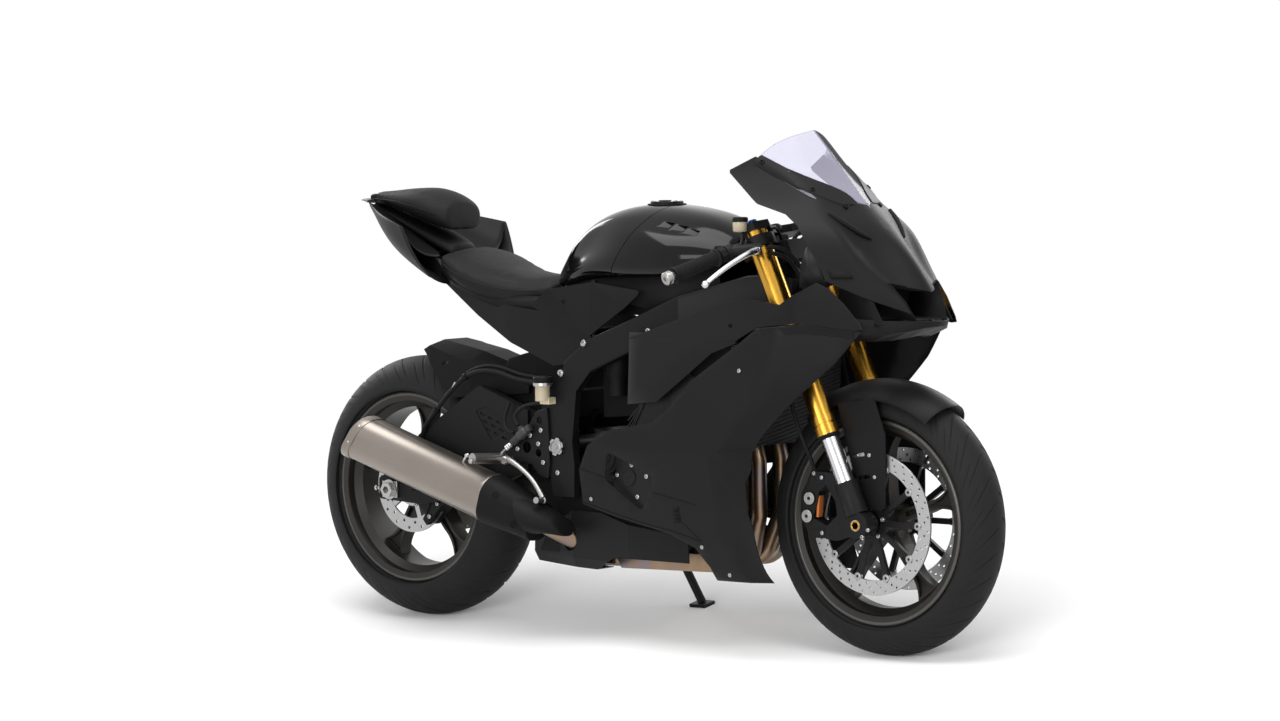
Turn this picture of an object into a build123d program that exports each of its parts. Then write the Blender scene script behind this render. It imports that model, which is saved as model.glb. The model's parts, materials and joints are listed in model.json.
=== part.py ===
"""Sport motorcycle, parked on its side stand.

The machine is drawn upright in its own frame, in millimetres: X forward, Y to the left, Z up,
with the origin on the ground half way between the axles. It is then leaned onto the stand
by one placement, PARKED, which all pieces share.
"""
from build123d import *
from math import acos, atan2, cos, degrees, pi, radians, sin, tan
import os

# ---- driving dimensions ----
WHEELBASE = 1375.0
FRONT_REACH = 687.5         # front axle ahead of the origin; a longer wheelbase lengthens the swingarm
RAKE = 24.0                 # steering axis back from upright, degrees
FORK_OFFSET = 33.4          # axle ahead of the steering axis, square to it
FORK_SPREAD = 105.0         # fork leg from the middle plane
BAR_HALF_WIDTH = 338.0      # bar end from the middle plane
LEAN = 10.0                 # parked lean to the left, degrees
WALL = 3.0                  # moulded body panels
RUNNING_GAP = 0.3           # turning fits
SEAT_GAP = 0.3              # pieces that rest on each other
PANEL_GAP = 1.0             # shut line between panels
PANEL_BOW = 0.04            # rise of a bowed panel, as a share of its span
STUD_RADIUS = 6.0           # rods that carry panels

# ---- wheels and brakes ----
AXLE_RADIUS = 12.5
AXLE_BORE = 9.0
SPACER_WALL = 6.5           # spacers and collars round the axles
NUT_WALL = 7.5
RIM_SEAT_RADIUS = 216.0     # bead seat of a 17 inch rim
RIM_FLANGE_HEIGHT = 14.0
BARREL_INNER = 193.0        # barrel under the drop centre, inner and outer radius
BARREL_OUTER = 200.0
SPOKES = 5
TYRE_WALL = 9.0
FRONT_RADIUS = 300.0
FRONT_HALF_WIDTH = 60.0
FRONT_SEAT = 44.5           # half the width between the rim's flanges
FRONT_WELL = 28.0           # half the width of the drop centre
REAR_RADIUS = 315.0
REAR_HALF_WIDTH = 90.0
REAR_SEAT = 69.9
REAR_WELL = 50.0
SHOULDER_DROP = 55.0        # crown height of the front tyre over its widest line
REAR_SHOULDER_DROP = 75.0

FRONT_DISC_RADIUS = 160.0
FRONT_DISC_BAND = 33.0
FRONT_DISC_Y = 64.5         # middle of the disc's thickness
REAR_DISC_RADIUS = 110.0
REAR_DISC_BAND = 34.0
REAR_DISC_Y = 67.5
DISC_THICKNESS = 5.0
DISC_HOLE_RADIUS = 3.6
CALIPER_FACE = -90.0        # caliper mounting face behind the front axle
PAD_GAP = 6.0               # half the slot of a caliper
HOSE_RADIUS = 4.5

# ---- drive ----
CHAIN_PITCH = 15.875
REAR_TEETH = 44
FRONT_TEETH = 16
CHAIN_Y = 105.0
SPROCKET_THICKNESS = 6.5
CHAIN_PLATE = 1.8
CHAIN_ROOM = 14.0           # from the chain's middle line to what stands beside it
COUNTERSHAFT = (-62.0, 432.0)
COUNTERSHAFT_RADIUS = 12.0

# ---- fork and bars ----
STANCHION_RADIUS = 20.5
FORK_TUBE_RADIUS = 27.0
FORK_SLEEVE_RADIUS = 26.0
CLAMP_WALL = 11.0
UPPER_CLAMP_WALL = 7.0
FORK_TOP_Z = 955.0
FORK_TUBE_LOW_Z = 495.0
FORK_FOOT_Z = 391.0
CLIP_ON_Z = 905.0
BAR_END = (345.0, BAR_HALF_WIDTH, 850.0)
BAR_RADIUS = 11.0
BAR_BORE = 5.0
GRIP_LENGTH = 122.0
LOWER_CLAMP_Z = 735.0
UPPER_CLAMP_Z = 936.0
STEM_RADIUS = 15.0
HEAD_TUBE_RADIUS = 31.0
ARCH_CLEARANCE = 15.0       # front fender over the tyre
STEER_LIMIT = 27.0          # steering lock each way, degrees

# ---- frame, swingarm and engine ----
PIVOT = (-148.0, 441.0)     # swingarm pivot, x and z
PIVOT_BOLT_RADIUS = 10.0
PIVOT_NUT_WALL = 7.0
PLATE_INNER_Y = 132.0       # frame side plates
PLATE_OUTER_Y = 152.0
PLATE_FOOT_Z = 325.0
SPAR_FACE = 136.2           # outer face of the spars where the upper panels' rods start
ARM_INNER_Y = 118.0
ARM_OUTER_Y = 142.0
ARM_BRIDGE = 88.0           # half width of the cross members that clear the chain
CASE_HALF = 118.0
HEAD_TOP = (322.0, 588.0)   # front face of the cylinder head, upper and lower edge
HEAD_LOW = (238.0, 398.0)
RADIATOR_HALF = 184.0

# ---- exhaust ----
HEADER_X = 354.0
HEADER_RADIUS = 19.0
LINK_RADIUS = 24.0
LINK_PATH = [(0, -40, 183), (-92, -56, 184), (-176, -160, 258), (-250, -205, 298.7), (-305.7, -205, 315.9)]
LINK_BENDS = [50, 50, 50]
SILENCER_START = Vector(-306, -205, 316)
SILENCER_END = Vector(-717, -205, 443)
CAN_WIDTH, CAN_HEIGHT, CAN_CORNER = 100.0, 112.0, 42.0

# ---- body ----
CAP_CENTRE = (62.0, 0.0)
CAP_RADIUS = 38.0
CAP_SEAT_Z = 999.0
# x, half width and height of the tail's floor
TAIL_FLOOR = [(-566, 178.5, 868), (-606, 188.5, 880), (-700, 138.5, 922), (-822, 61, 985)]
NOSE_BOTTOM = 748.0
SCREEN_SEAM = [(415, 1098), (646, 981), (690, 951), (720, 936)]
NOSE_OUTLINE = [(870, NOSE_BOTTOM), (834, NOSE_BOTTOM), (817, 757), (740, 795), (657, 841), (627, 892),
                (573, 959), (534, 984), (450, 1010), (382, 1034), (367, 1082), *SCREEN_SEAM, (870, 790)]
SCREEN_OUTLINE = [*[(x + 0.45, z + 0.65) for x, z in SCREEN_SEAM], (500, 1175), (470, 1155)]

# ---- side stand ----
STAND_FOLD = 95.0           # from parked to folded, degrees
STAND_REACH = 235.0         # foot to the left of the tyres' line, on the ground
STAND_PIVOT = Vector(-112, 166, 268)
STAND_FOOT_X = -34.0
STAND_PIN_RADIUS = 6.0
FOOT_THICKNESS = 8.0
EYE_RADIUS = 17.0
EYE_HALF = 6.0
CHEEK = 6.0

# ---- places worked out from them ----
FRONT_AXLE = (FRONT_REACH, FRONT_RADIUS)
REAR_AXLE = (FRONT_REACH - WHEELBASE, REAR_RADIUS)


def crown_radius(half_width, drop):
    return (half_width ** 2 + drop ** 2) / (2 * drop)


FRONT_LIFT = crown_radius(FRONT_HALF_WIDTH, SHOULDER_DROP) * (1 - cos(radians(LEAN)))
REAR_LIFT = crown_radius(REAR_HALF_WIDTH, REAR_SHOULDER_DROP) * (1 - cos(radians(LEAN)))
PITCH = degrees(atan2(REAR_LIFT - FRONT_LIFT, WHEELBASE))
SHIFT = (
    (REAR_RADIUS - FRONT_RADIUS) / 2,
    -BAR_END[2] * sin(radians(LEAN)),
    (FRONT_LIFT + REAR_LIFT) / 2,
)
PARKED = Pos(*SHIFT) * Rot(Y=PITCH) * Rot(X=-LEAN)

# steering axis: foot is the point on it nearest the axle
STEER_UP = Vector(-sin(radians(RAKE)), 0, cos(radians(RAKE)))
STEER_FOOT = Vector(
    FRONT_AXLE[0] - FORK_OFFSET * cos(radians(RAKE)),
    0,
    FRONT_AXLE[1] - FORK_OFFSET * sin(radians(RAKE)),
)
STEER = Plane(origin=STEER_FOOT, x_dir=(cos(radians(RAKE)), 0, sin(radians(RAKE))), z_dir=STEER_UP)


def along_fork(z):
    """Distance up the fork from the axle to the height z on a leg."""
    return (z - FRONT_AXLE[1]) / cos(radians(RAKE))


def steer_at(z):
    """Distance up the steering axis to the height z on that axis."""
    return (z - STEER_FOOT.Z) / cos(radians(RAKE))


# ---- ways of making a solid ----
def flat(points, y, rounding=0):
    """Face cut to an x, z outline, standing at y and facing right."""
    edge = FilletPolyline(*points, radius=rounding, close=True) if rounding else Polyline(*points, close=True)
    return Plane.XZ.offset(-y) * make_face(edge)


def slab(points, y_low, y_high, rounding=0):
    """Plate cut to an x, z outline that fills y_low to y_high."""
    return extrude(flat(points, y_high, rounding), amount=y_high - y_low)


def both_sides(piece):
    return Compound([*piece.solids(), *mirror(piece, Plane.XZ).solids()])


def rod(x, z, radius, y_low, y_high, bore=0):
    """Round bar or tube across the machine."""
    ring = Circle(radius) - Circle(bore) if bore else Circle(radius)
    return extrude(Plane.XZ.offset(-y_high) * (Pos(x, z) * ring), amount=y_high - y_low)


def bar(start, end, radius, bore=0):
    """Round bar or tube between two points."""
    start, end = Vector(*start), Vector(*end)
    ring = Circle(radius) - Circle(bore) if bore else Circle(radius)
    return extrude(Plane(origin=start, z_dir=end - start) * ring, amount=(end - start).length)


def pipe(points, radius, bends, bore=0):
    path = FilletPolyline(*points, radius=bends)
    ring = Circle(radius) - Circle(bore) if bore else Circle(radius)
    return sweep(Plane(origin=path @ 0, z_dir=path % 0) * ring, path=path)


def skin(rows, wall=WALL, ruled=False):
    """Panel lofted through rows of outer points on the right side, wall thick inwards."""
    rings = []
    for row in rows:
        inner = [(x, y + wall, z) for x, y, z in reversed(row)]
        rings.append(make_face(Polyline(*row, *inner, close=True)))
    return loft(rings, ruled=ruled)


def stud(start, toward, panel, radius=STUD_RADIUS):
    """Rod from start that stops just short of the panel it carries."""
    start, toward = Vector(*start), Vector(*toward)
    way = (toward - start).normalized()
    near = Pos(*(way * -SEAT_GAP)) * panel
    pieces = (bar(start, toward, radius) - near).solids()
    return min(pieces, key=lambda solid: (solid.center() - start).length)


def mirrored(piece):
    """The piece and its mirror image, joined where they meet."""
    return piece + mirror(piece, Plane.XZ)


def hoop(z, front, shoulder, rear, wall=WALL):
    """Level section of the nose: front x, shoulder (x, y), rear (x, y), mirrored, wall thick."""
    (sx, sy), (rx, ry) = shoulder, rear
    right = [(rx, -ry), (sx, -sy), (front, 0)]
    right_inner = [(rx, wall - ry), (sx - wall, wall - sy), (front - 1.6 * wall, 0)]
    edges = []
    for line in (right, right_inner):
        for start, end in zip(line, line[1:]):
            way = Vector(*end) - Vector(*start)
            middle = (Vector(*start) + Vector(*end)) / 2 + Vector(way.Y, -way.X) * PANEL_BOW
            edges.append(ThreePointArc((*start, z), (middle.X, middle.Y, z), (*end, z)))
            edges.append(ThreePointArc((start[0], -start[1], z), (middle.X, -middle.Y, z), (end[0], -end[1], z)))
    for sign in (-1, 1):
        edges.append(Line((rx, sign * ry, z), (rx, sign * (ry - wall), z)))
    return make_face(edges)


def arched(table):
    """Seat, tank or pad lofted through upright sections with a flat base and an arched top.

    Each row is x, half widths (base, widest, shoulder), z base, z shoulder, z crown.
    """
    rings = []
    for x, (low, side, shoulder), z_low, z_side, z_top in table:
        z_wide = (z_low + z_side) / 2
        rings.append(make_face([
            Line((x, -low, z_low), (x, low, z_low)),
            ThreePointArc((x, low, z_low), (x, side, z_wide), (x, shoulder, z_side)),
            ThreePointArc((x, shoulder, z_side), (x, 0, z_top), (x, -shoulder, z_side)),
            ThreePointArc((x, -shoulder, z_side), (x, -side, z_wide), (x, -low, z_low)),
        ]))
    return loft(rings)


# ---- wheels, drawn about their own axle, then moved ----
def tyre(radius, half_width, seat, drop):
    """Hollow tyre: rounded crown, sidewalls and beads, turned about Y."""
    shoulder = radius - drop
    bead = seat - SEAT_GAP
    bead_radius = RIM_SEAT_RADIUS + SEAT_GAP
    flange = RIM_SEAT_RADIUS + RIM_FLANGE_HEIGHT
    outer_side = [(bead_radius, bead - TYRE_WALL - 3), (bead_radius, bead), (flange + 1, bead), (shoulder, half_width)]
    inner_side = [(bead_radius, bead - TYRE_WALL - 3), (flange + 4, bead - TYRE_WALL), (shoulder - 2, half_width - TYRE_WALL)]
    right = [(r, -y) for r, y in outer_side]
    right_inner = [(r, -y) for r, y in inner_side]
    edges = [
        Polyline(*outer_side),
        ThreePointArc(outer_side[-1], (radius, 0), right[-1]),
        Polyline(*right),
        Polyline(*inner_side),
        ThreePointArc(inner_side[-1], (radius - TYRE_WALL, 0), right_inner[-1]),
        Polyline(*right_inner),
    ]
    return revolve(make_face(edges), Axis.Y, 360)


def rim(seat, well, hub_half, hub_radius, web_hub, web_rim):
    """Cast wheel: barrel, hub and spokes that flare into the barrel, with pockets on both faces."""
    flange = RIM_SEAT_RADIUS + RIM_FLANGE_HEIGHT
    half = [
        (BARREL_OUTER, 0), (BARREL_OUTER, well - 12), (RIM_SEAT_RADIUS, well), (RIM_SEAT_RADIUS, seat),
        (flange, seat), (flange, seat + 5), (flange - 6, seat + 7), (RIM_SEAT_RADIUS - 7, seat + 2),
        (RIM_SEAT_RADIUS - 7, well + 1), (BARREL_INNER, well - 13), (BARREL_INNER, 0),
    ]
    outline = half + [(r, -y) for r, y in reversed(half[1:-1])]
    barrel = revolve(make_face(Polyline(*outline, close=True)), Axis.Y, 360)
    # the spokes fill a disc that thins towards the rim
    reach = BARREL_INNER + 2
    bore = AXLE_RADIUS + RUNNING_GAP
    side = [(bore, hub_half), (hub_radius, hub_half), (hub_radius + 4, web_hub), (reach, web_rim)]
    web = make_face(Polyline(*side, *[(r, -y) for r, y in reversed(side)], close=True))
    disc = revolve(web, Axis.Y, 360)
    spoke = flared([(20, 19), (70, 13), (120, 12.5)], (172, 19), (BARREL_OUTER + 4, 44))
    pocket = flared([(hub_radius + 26, 6), (120, 5.5)], (164, 9.5), (BARREL_INNER - 7, 24))
    spokes = Circle(hub_radius)
    pockets = Sketch()
    for number in range(SPOKES):
        turn = Rot(Z=360 / SPOKES * number + 18)
        spokes += turn * spoke
        pockets += turn * pocket
    body = barrel + (disc & extrude(Plane.XZ.offset(-hub_half - 1) * spokes, amount=2 * hub_half + 2))
    depth = web_rim - 5
    for face in (-hub_half, depth):
        body -= extrude(Plane.XZ.offset(-face - hub_half + depth) * pockets, amount=hub_half - depth)
    return body


def flared(straight, through, end):
    """Face about the X line: straight edges, then an arc that widens to its end."""
    edges = []
    for sign in (-1, 1):
        line = [(x, sign * y) for x, y in straight]
        edges.append(Polyline(*line))
        edges.append(ThreePointArc(line[-1], (through[0], sign * through[1]), (end[0], sign * end[1])))
    edges.append(Line((end[0], -end[1]), (end[0], end[1])))
    edges.append(Line((straight[0][0], -straight[0][1]), (straight[0][0], straight[0][1])))
    return make_face(edges)


def ring_disc(radius, band, y, holes):
    """Brake disc with two staggered circles of drilled holes."""
    face = Circle(radius) - Circle(radius - band)
    for row, share in enumerate((0.3, 0.7)):
        for number in range(holes):
            turn = Rot(Z=360 / holes * (number + row / 2))
            face -= turn * Pos(radius - share * band, 0) * Circle(DISC_HOLE_RADIUS)
    return extrude(Plane.XZ.offset(-y - DISC_THICKNESS / 2) * face, amount=DISC_THICKNESS)


def spider(outer, hub_radius, y_low, y_high, arms):
    """Disc carrier: a ring on the hub with arms out to the disc."""
    face = Circle(hub_radius + 16)
    for turn in range(arms):
        face += Rot(Z=360 / arms * turn) * Pos((outer + hub_radius) / 2, 0) * Rectangle(outer - hub_radius, 13)
    face = face & Circle(outer)
    face -= Circle(hub_radius)
    return extrude(Plane.XZ.offset(-y_high) * face, amount=y_high - y_low)


def pitch_radius(teeth):
    return CHAIN_PITCH / (2 * sin(pi / teeth))


def toothed_plate(teeth, bore, y_low, y_high):
    """Chain wheel: each tooth is a flat-topped wedge between two roller seats."""
    root = pitch_radius(teeth) - 5.5
    tip = pitch_radius(teeth) + 4.5
    points = []
    for tooth in range(teeth):
        for share, radius in ((-0.30, root), (-0.10, tip), (0.10, tip), (0.30, root)):
            angle = 2 * pi * (tooth + share) / teeth
            points.append((radius * cos(angle), radius * sin(angle)))
    face = make_face(Polyline(*points, close=True)) - Circle(bore)
    return extrude(Plane.XZ.offset(-y_high) * face, amount=y_high - y_low)


def at_front(piece):
    return Pos(FRONT_AXLE[0], 0, FRONT_AXLE[1]) * piece


def at_rear(piece):
    return Pos(REAR_AXLE[0], 0, REAR_AXLE[1]) * piece


FRONT_HUB_HALF = FRONT_DISC_Y - DISC_THICKNESS / 2 - SEAT_GAP
REAR_HUB_HALF = REAR_DISC_Y - DISC_THICKNESS / 2 - SEAT_GAP
FRONT_RIM_FACE = FRONT_HUB_HALF - 6
REAR_RIM_FACE = REAR_HUB_HALF - 4


def front_tyre():
    return at_front(tyre(FRONT_RADIUS, FRONT_HALF_WIDTH, FRONT_SEAT, SHOULDER_DROP))


def front_rim():
    return at_front(rim(FRONT_SEAT, FRONT_WELL, FRONT_RIM_FACE, 36, 20, 13))


def front_discs():
    return at_front(both_sides(ring_disc(FRONT_DISC_RADIUS, FRONT_DISC_BAND, -FRONT_DISC_Y, 20)))


def front_disc_carriers():
    outer = FRONT_DISC_RADIUS - FRONT_DISC_BAND - SEAT_GAP
    eye = AXLE_RADIUS + SPACER_WALL + 5
    return at_front(both_sides(spider(outer, eye, -FRONT_DISC_Y - 2, -FRONT_RIM_FACE - SEAT_GAP, 10)))


def rear_tyre():
    return at_rear(tyre(REAR_RADIUS, REAR_HALF_WIDTH, REAR_SEAT, REAR_SHOULDER_DROP))


def rear_rim():
    return at_rear(rim(REAR_SEAT, REAR_WELL, REAR_RIM_FACE, 44, 26, 17))


def rear_disc():
    ring = ring_disc(REAR_DISC_RADIUS, REAR_DISC_BAND, -REAR_DISC_Y, 15)
    arms = spider(REAR_DISC_RADIUS - REAR_DISC_BAND + 2, 30, -REAR_DISC_Y - 2, -REAR_RIM_FACE - SEAT_GAP, 5)
    return at_rear(ring + arms)


def rear_sprocket():
    """Sprocket and the carrier that joins it to the hub."""
    low, high = CHAIN_Y - SPROCKET_THICKNESS / 2, CHAIN_Y + SPROCKET_THICKNESS / 2
    plate = toothed_plate(REAR_TEETH, 52, low, high)
    arms = Circle(60)
    for turn in range(5):
        arms += Rot(Z=72 * turn) * Pos(60, 0) * Rectangle(60, 26)
    arms -= Circle(AXLE_RADIUS + RUNNING_GAP)
    carrier = extrude(Plane.XZ.offset(-low) * (arms & Circle(82)), amount=12)
    hub = rod(0, 0, 46, REAR_RIM_FACE + SEAT_GAP, low, bore=AXLE_RADIUS + RUNNING_GAP)
    return at_rear(plate + carrier + hub)


# ---- fork and steering, drawn about the steering axis ----
def leg(radius, z_low, z_high, bore=0):
    """Tube on the right fork leg between two heights."""
    low, high = along_fork(z_low), along_fork(z_high)
    ring = Circle(radius) - Circle(bore) if bore else Circle(radius)
    return extrude(STEER.offset(low) * (Pos(FORK_OFFSET, -FORK_SPREAD) * ring), amount=high - low)


def fork_outer_tubes():
    """Outer tubes with two collars round the seal and a hexagonal cap."""
    bore = STANCHION_RADIUS + SEAT_GAP
    body = FORK_TUBE_RADIUS - 2
    # radius, low and high z of each step
    steps = [
        (FORK_TUBE_RADIUS, FORK_TUBE_LOW_Z, FORK_TUBE_LOW_Z + 20), (body - 1, FORK_TUBE_LOW_Z + 19, FORK_TUBE_LOW_Z + 25),
        (FORK_TUBE_RADIUS, FORK_TUBE_LOW_Z + 24, FORK_TUBE_LOW_Z + 40), (body, FORK_TUBE_LOW_Z + 39, LOWER_CLAMP_Z - 34),
        (FORK_TUBE_RADIUS, LOWER_CLAMP_Z - 35, FORK_TOP_Z - 8), (body, FORK_TOP_Z - 9, FORK_TOP_Z),
    ]
    tube = leg(*steps[0], bore)
    for step in steps[1:]:
        tube += leg(*step, bore)
    tube += leg(STANCHION_RADIUS + 2, FORK_TOP_Z - 4, FORK_TOP_Z + 3)
    hexagon = STEER.offset(along_fork(FORK_TOP_Z)) * (Pos(FORK_OFFSET, -FORK_SPREAD) * RegularPolygon(11, 6))
    return both_sides(tube + extrude(hexagon, amount=9))


def fork_inner_tubes():
    return both_sides(leg(STANCHION_RADIUS, FORK_FOOT_Z, FORK_TUBE_LOW_Z + 60))


def fork_bottoms():
    """Cast feet: a sleeve round the inner tube, the axle clamp and the caliper ears behind."""
    sleeve = leg(FORK_SLEEVE_RADIUS, FRONT_AXLE[1] + 22, FORK_FOOT_Z - SEAT_GAP)
    x, z = FRONT_AXLE
    y_low, y_high = -FORK_SPREAD - 20, -FORK_SPREAD + 20
    clamp = rod(x, z, 30, y_low, y_high)
    pad = CALIPER_FACE + SEAT_GAP
    ears = slab([(x - 14, z - 22), (x + 6, z + 30), (x - 34, z + 112), (x + pad, z + 112), (x + pad, z + 86),
                 (x - 62, z + 50), (x - 58, z + 18), (x + pad, z - 9), (x + pad, z - 35), (x - 62, z - 38)],
                y_low + 9, y_high - 9)
    foot = sleeve + clamp + ears
    foot -= leg(STANCHION_RADIUS + SEAT_GAP, FORK_FOOT_Z - SEAT_GAP, FORK_FOOT_Z + 60)
    foot -= rod(x, z, AXLE_RADIUS + SEAT_GAP, y_low - 1, y_high + 1)
    return both_sides(foot)


def front_axle():
    x, z = FRONT_AXLE
    end = FORK_SPREAD + 22
    shaft = rod(x, z, AXLE_RADIUS, -end, end, bore=AXLE_BORE)
    collar = rod(x, z, AXLE_RADIUS + SPACER_WALL, FRONT_HUB_HALF + SEAT_GAP, FORK_SPREAD - 20 - SEAT_GAP, AXLE_BORE + 1)
    return shaft + mirrored(collar)


def clamp_plate(z, thickness, reach):
    """Fork clamp: stem eye and two leg eyes joined by a plate."""
    side_reach = FORK_TUBE_RADIUS + UPPER_CLAMP_WALL
    rear_corner = (FORK_OFFSET + 17 - FORK_TUBE_RADIUS, FORK_SPREAD + reach)
    front_corner = (FORK_OFFSET + FORK_TUBE_RADIUS - 5, FORK_SPREAD + reach - 6)
    right = [(-26, 0), (-20, 60), (FORK_OFFSET - side_reach, FORK_SPREAD), rear_corner, front_corner,
             (FORK_OFFSET + side_reach, FORK_SPREAD - 14), (30, 36), (22, 0)]
    left = [(x, -y) for x, y in reversed(right[1:-1])]
    face = make_face(Polyline(*right, *left, close=True))
    for side in (-1, 1):
        face -= Pos(FORK_OFFSET, side * FORK_SPREAD) * Circle(FORK_TUBE_RADIUS + SEAT_GAP)
    return extrude(STEER.offset(steer_at(z) - thickness / 2) * face, amount=thickness)


def triple_clamps():
    lower = clamp_plate(LOWER_CLAMP_Z, 30, FORK_TUBE_RADIUS + CLAMP_WALL)
    upper = clamp_plate(UPPER_CLAMP_Z, 18, FORK_TUBE_RADIUS + UPPER_CLAMP_WALL)
    low, high = steer_at(LOWER_CLAMP_Z), steer_at(UPPER_CLAMP_Z)
    stem = extrude(STEER.offset(low - 30) * Circle(STEM_RADIUS), amount=high - low + 45)
    stem_bore = extrude(STEER.offset(low - 31) * Circle(8.5), amount=100)
    return lower + upper + stem - stem_bore


def handlebars():
    """Clip-on clamps round the fork tubes, each with its bar."""
    eye = Circle(FORK_TUBE_RADIUS + CLAMP_WALL) - Circle(FORK_TUBE_RADIUS + SEAT_GAP)
    clamp = extrude(STEER.offset(along_fork(CLIP_ON_Z)) * (Pos(FORK_OFFSET, -FORK_SPREAD) * eye), amount=26)
    tube = bar(*grip_line(), BAR_RADIUS, bore=BAR_BORE)
    return both_sides(clamp + tube)


def grip_line():
    """Root and end of the right bar."""
    root = STEER.from_local_coords(Vector(FORK_OFFSET - 6, -FORK_SPREAD - 36, along_fork(CLIP_ON_Z) + 14))
    return root, Vector(BAR_END[0], -BAR_END[1], BAR_END[2])


def grips():
    """Rubber grips and the weights that plug the bar ends."""
    root, end = grip_line()
    way = (end - root).normalized()
    start = end - way * (GRIP_LENGTH + 8)
    bore = BAR_RADIUS + SEAT_GAP
    grip = bar(start, end - way * 8, 16.5, bore) + bar(start, start + way * 5, 21, bore)
    weight = bar(end + way * SEAT_GAP, end + way * 16, 15, bore=3.3)
    return Compound([*both_sides(grip).solids(), *both_sides(weight).solids()])


def levers():
    """Brake lever with its master cylinder, and clutch lever with its perch."""
    root, end = grip_line()
    way = (end - root).normalized()
    perch_at = end - way * (GRIP_LENGTH + 40)
    hole = BAR_RADIUS + SEAT_GAP
    perch = bar(perch_at - way * 9, perch_at + way * 9, 19)
    body = bar(perch_at + Vector(30, 12, 4), perch_at + Vector(64, 40, 8), 13)
    body += bar(perch_at + Vector(8, 2, 2), perch_at + Vector(44, 22, 4), 10)
    blade = pipe([perch_at + Vector(56, 30, 6), perch_at + Vector(64, -12, -2), perch_at + Vector(46, -80, -40),
                  perch_at + Vector(34, -128, -66)], 6, 14)
    return both_sides(perch + body + blade - bar(root, end, hole))


def front_fender():
    """Arched blade over the tyre with a side plate down to each fork foot."""
    radius = FRONT_RADIUS + ARCH_CLEARANCE
    lip = radius - 42
    half = FRONT_HALF_WIDTH + 14
    arch = ThreePointArc((lip, -half), (radius + WALL, 0), (lip, half))
    under = ThreePointArc((lip, WALL - half), (radius, 0), (lip, half - WALL))
    ring = make_face([arch, Line((lip, half), (lip, half - WALL)), under, Line((lip, WALL - half), (lip, -half))])
    blade = at_front(Rot(Y=-128) * revolve(ring, Axis.Y, 72))
    x, z = FRONT_AXLE
    plate = slab([(x - 84, z + 264), (x + 18, z + 277), (x + 46, z + 200), (x + 44, z + 40), (x + 34, z + 30),
                  (x - 14, z + 34), (x - 44, z + 120)], -half - 2.5, -half + 1.2)
    for dx, dz in ((-27, 150), (-12, 102)):
        plate -= slab([(x + dx - 17, z + dz - 7), (x + dx + 17, z + dz), (x + dx + 15, z + dz + 8),
                       (x + dx - 15, z + dz + 2)], -half - 3, -half + 2, rounding=2)
    foot_x = x - (80 * tan(radians(RAKE)))
    boss = rod(foot_x, z + 80, 8, -FORK_SPREAD + FORK_SLEEVE_RADIUS + SEAT_GAP, -half)
    return blade + mirrored(plate + boss)


def front_calipers():
    """Radial calipers behind the legs, each a bridge over its disc."""
    x, z = FRONT_AXLE
    face = CALIPER_FACE
    outline = [(-166, 60), (-134, 112), (face, 112), (face, 90), (-116, 68), (-132, 8), (face, -9), (face, -35),
               (-140, -36), (-168, 8)]
    body = slab([(x + dx, z + dz) for dx, dz in outline], -FRONT_DISC_Y - 40, -FRONT_DISC_Y + 18)
    body -= rod(x, z, FRONT_DISC_RADIUS + 3, -FRONT_DISC_Y - PAD_GAP, -FRONT_DISC_Y + PAD_GAP)
    body -= rod(x, z, FRONT_DISC_RADIUS - FRONT_DISC_BAND + 5, -FRONT_DISC_Y - PAD_GAP, -FRONT_DISC_Y + 20)
    for dx, dz in ((-141, 52), (-148, 12)):
        body += rod(x + dx, z + dz, 15, -FRONT_DISC_Y - 43, -FRONT_DISC_Y - 39, bore=6)
    return both_sides(body)


def cord(points, radius):
    """Hose through the points, each bend as large as its two runs allow."""
    points = [Vector(*point) for point in points]
    bends = []
    for before, at, after in zip(points, points[1:], points[2:]):
        run = min((at - before).length, (after - at).length)
        turn = (at - before).get_angle(after - at)
        bends.append(0.45 * run / tan(radians(turn) / 2))
    print("bends", [round(bend) for bend in bends])
    return pipe(points, radius, bends)


def brake_hoses():
    """One hose from each front caliper to the master cylinder, the left one crossing ahead of the stem."""
    right = [(554, -94, 412.6), (544, -102, 448), (522, -112, 505), (502, -112, 565), (494, -98, 622),
             (508, -71, 676), (533, -66, 732), (522, -67, 790), (503, -75, 845), (490, -102, 886), (466, -138, 899)]
    left = [(x, -y, z) for x, y, z in right[:5]]
    left += [(512, 68, 672), (533, 40, 716), (542, -8, 738), (544, -52, 762), (534, -71, 806), (516, -73, 848),
             (504, -92, 882), (488, -118, 908), (464, -142, 911)]
    return Compound([*cord(right, HOSE_RADIUS).solids(), *cord(left, HOSE_RADIUS).solids()])


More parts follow.
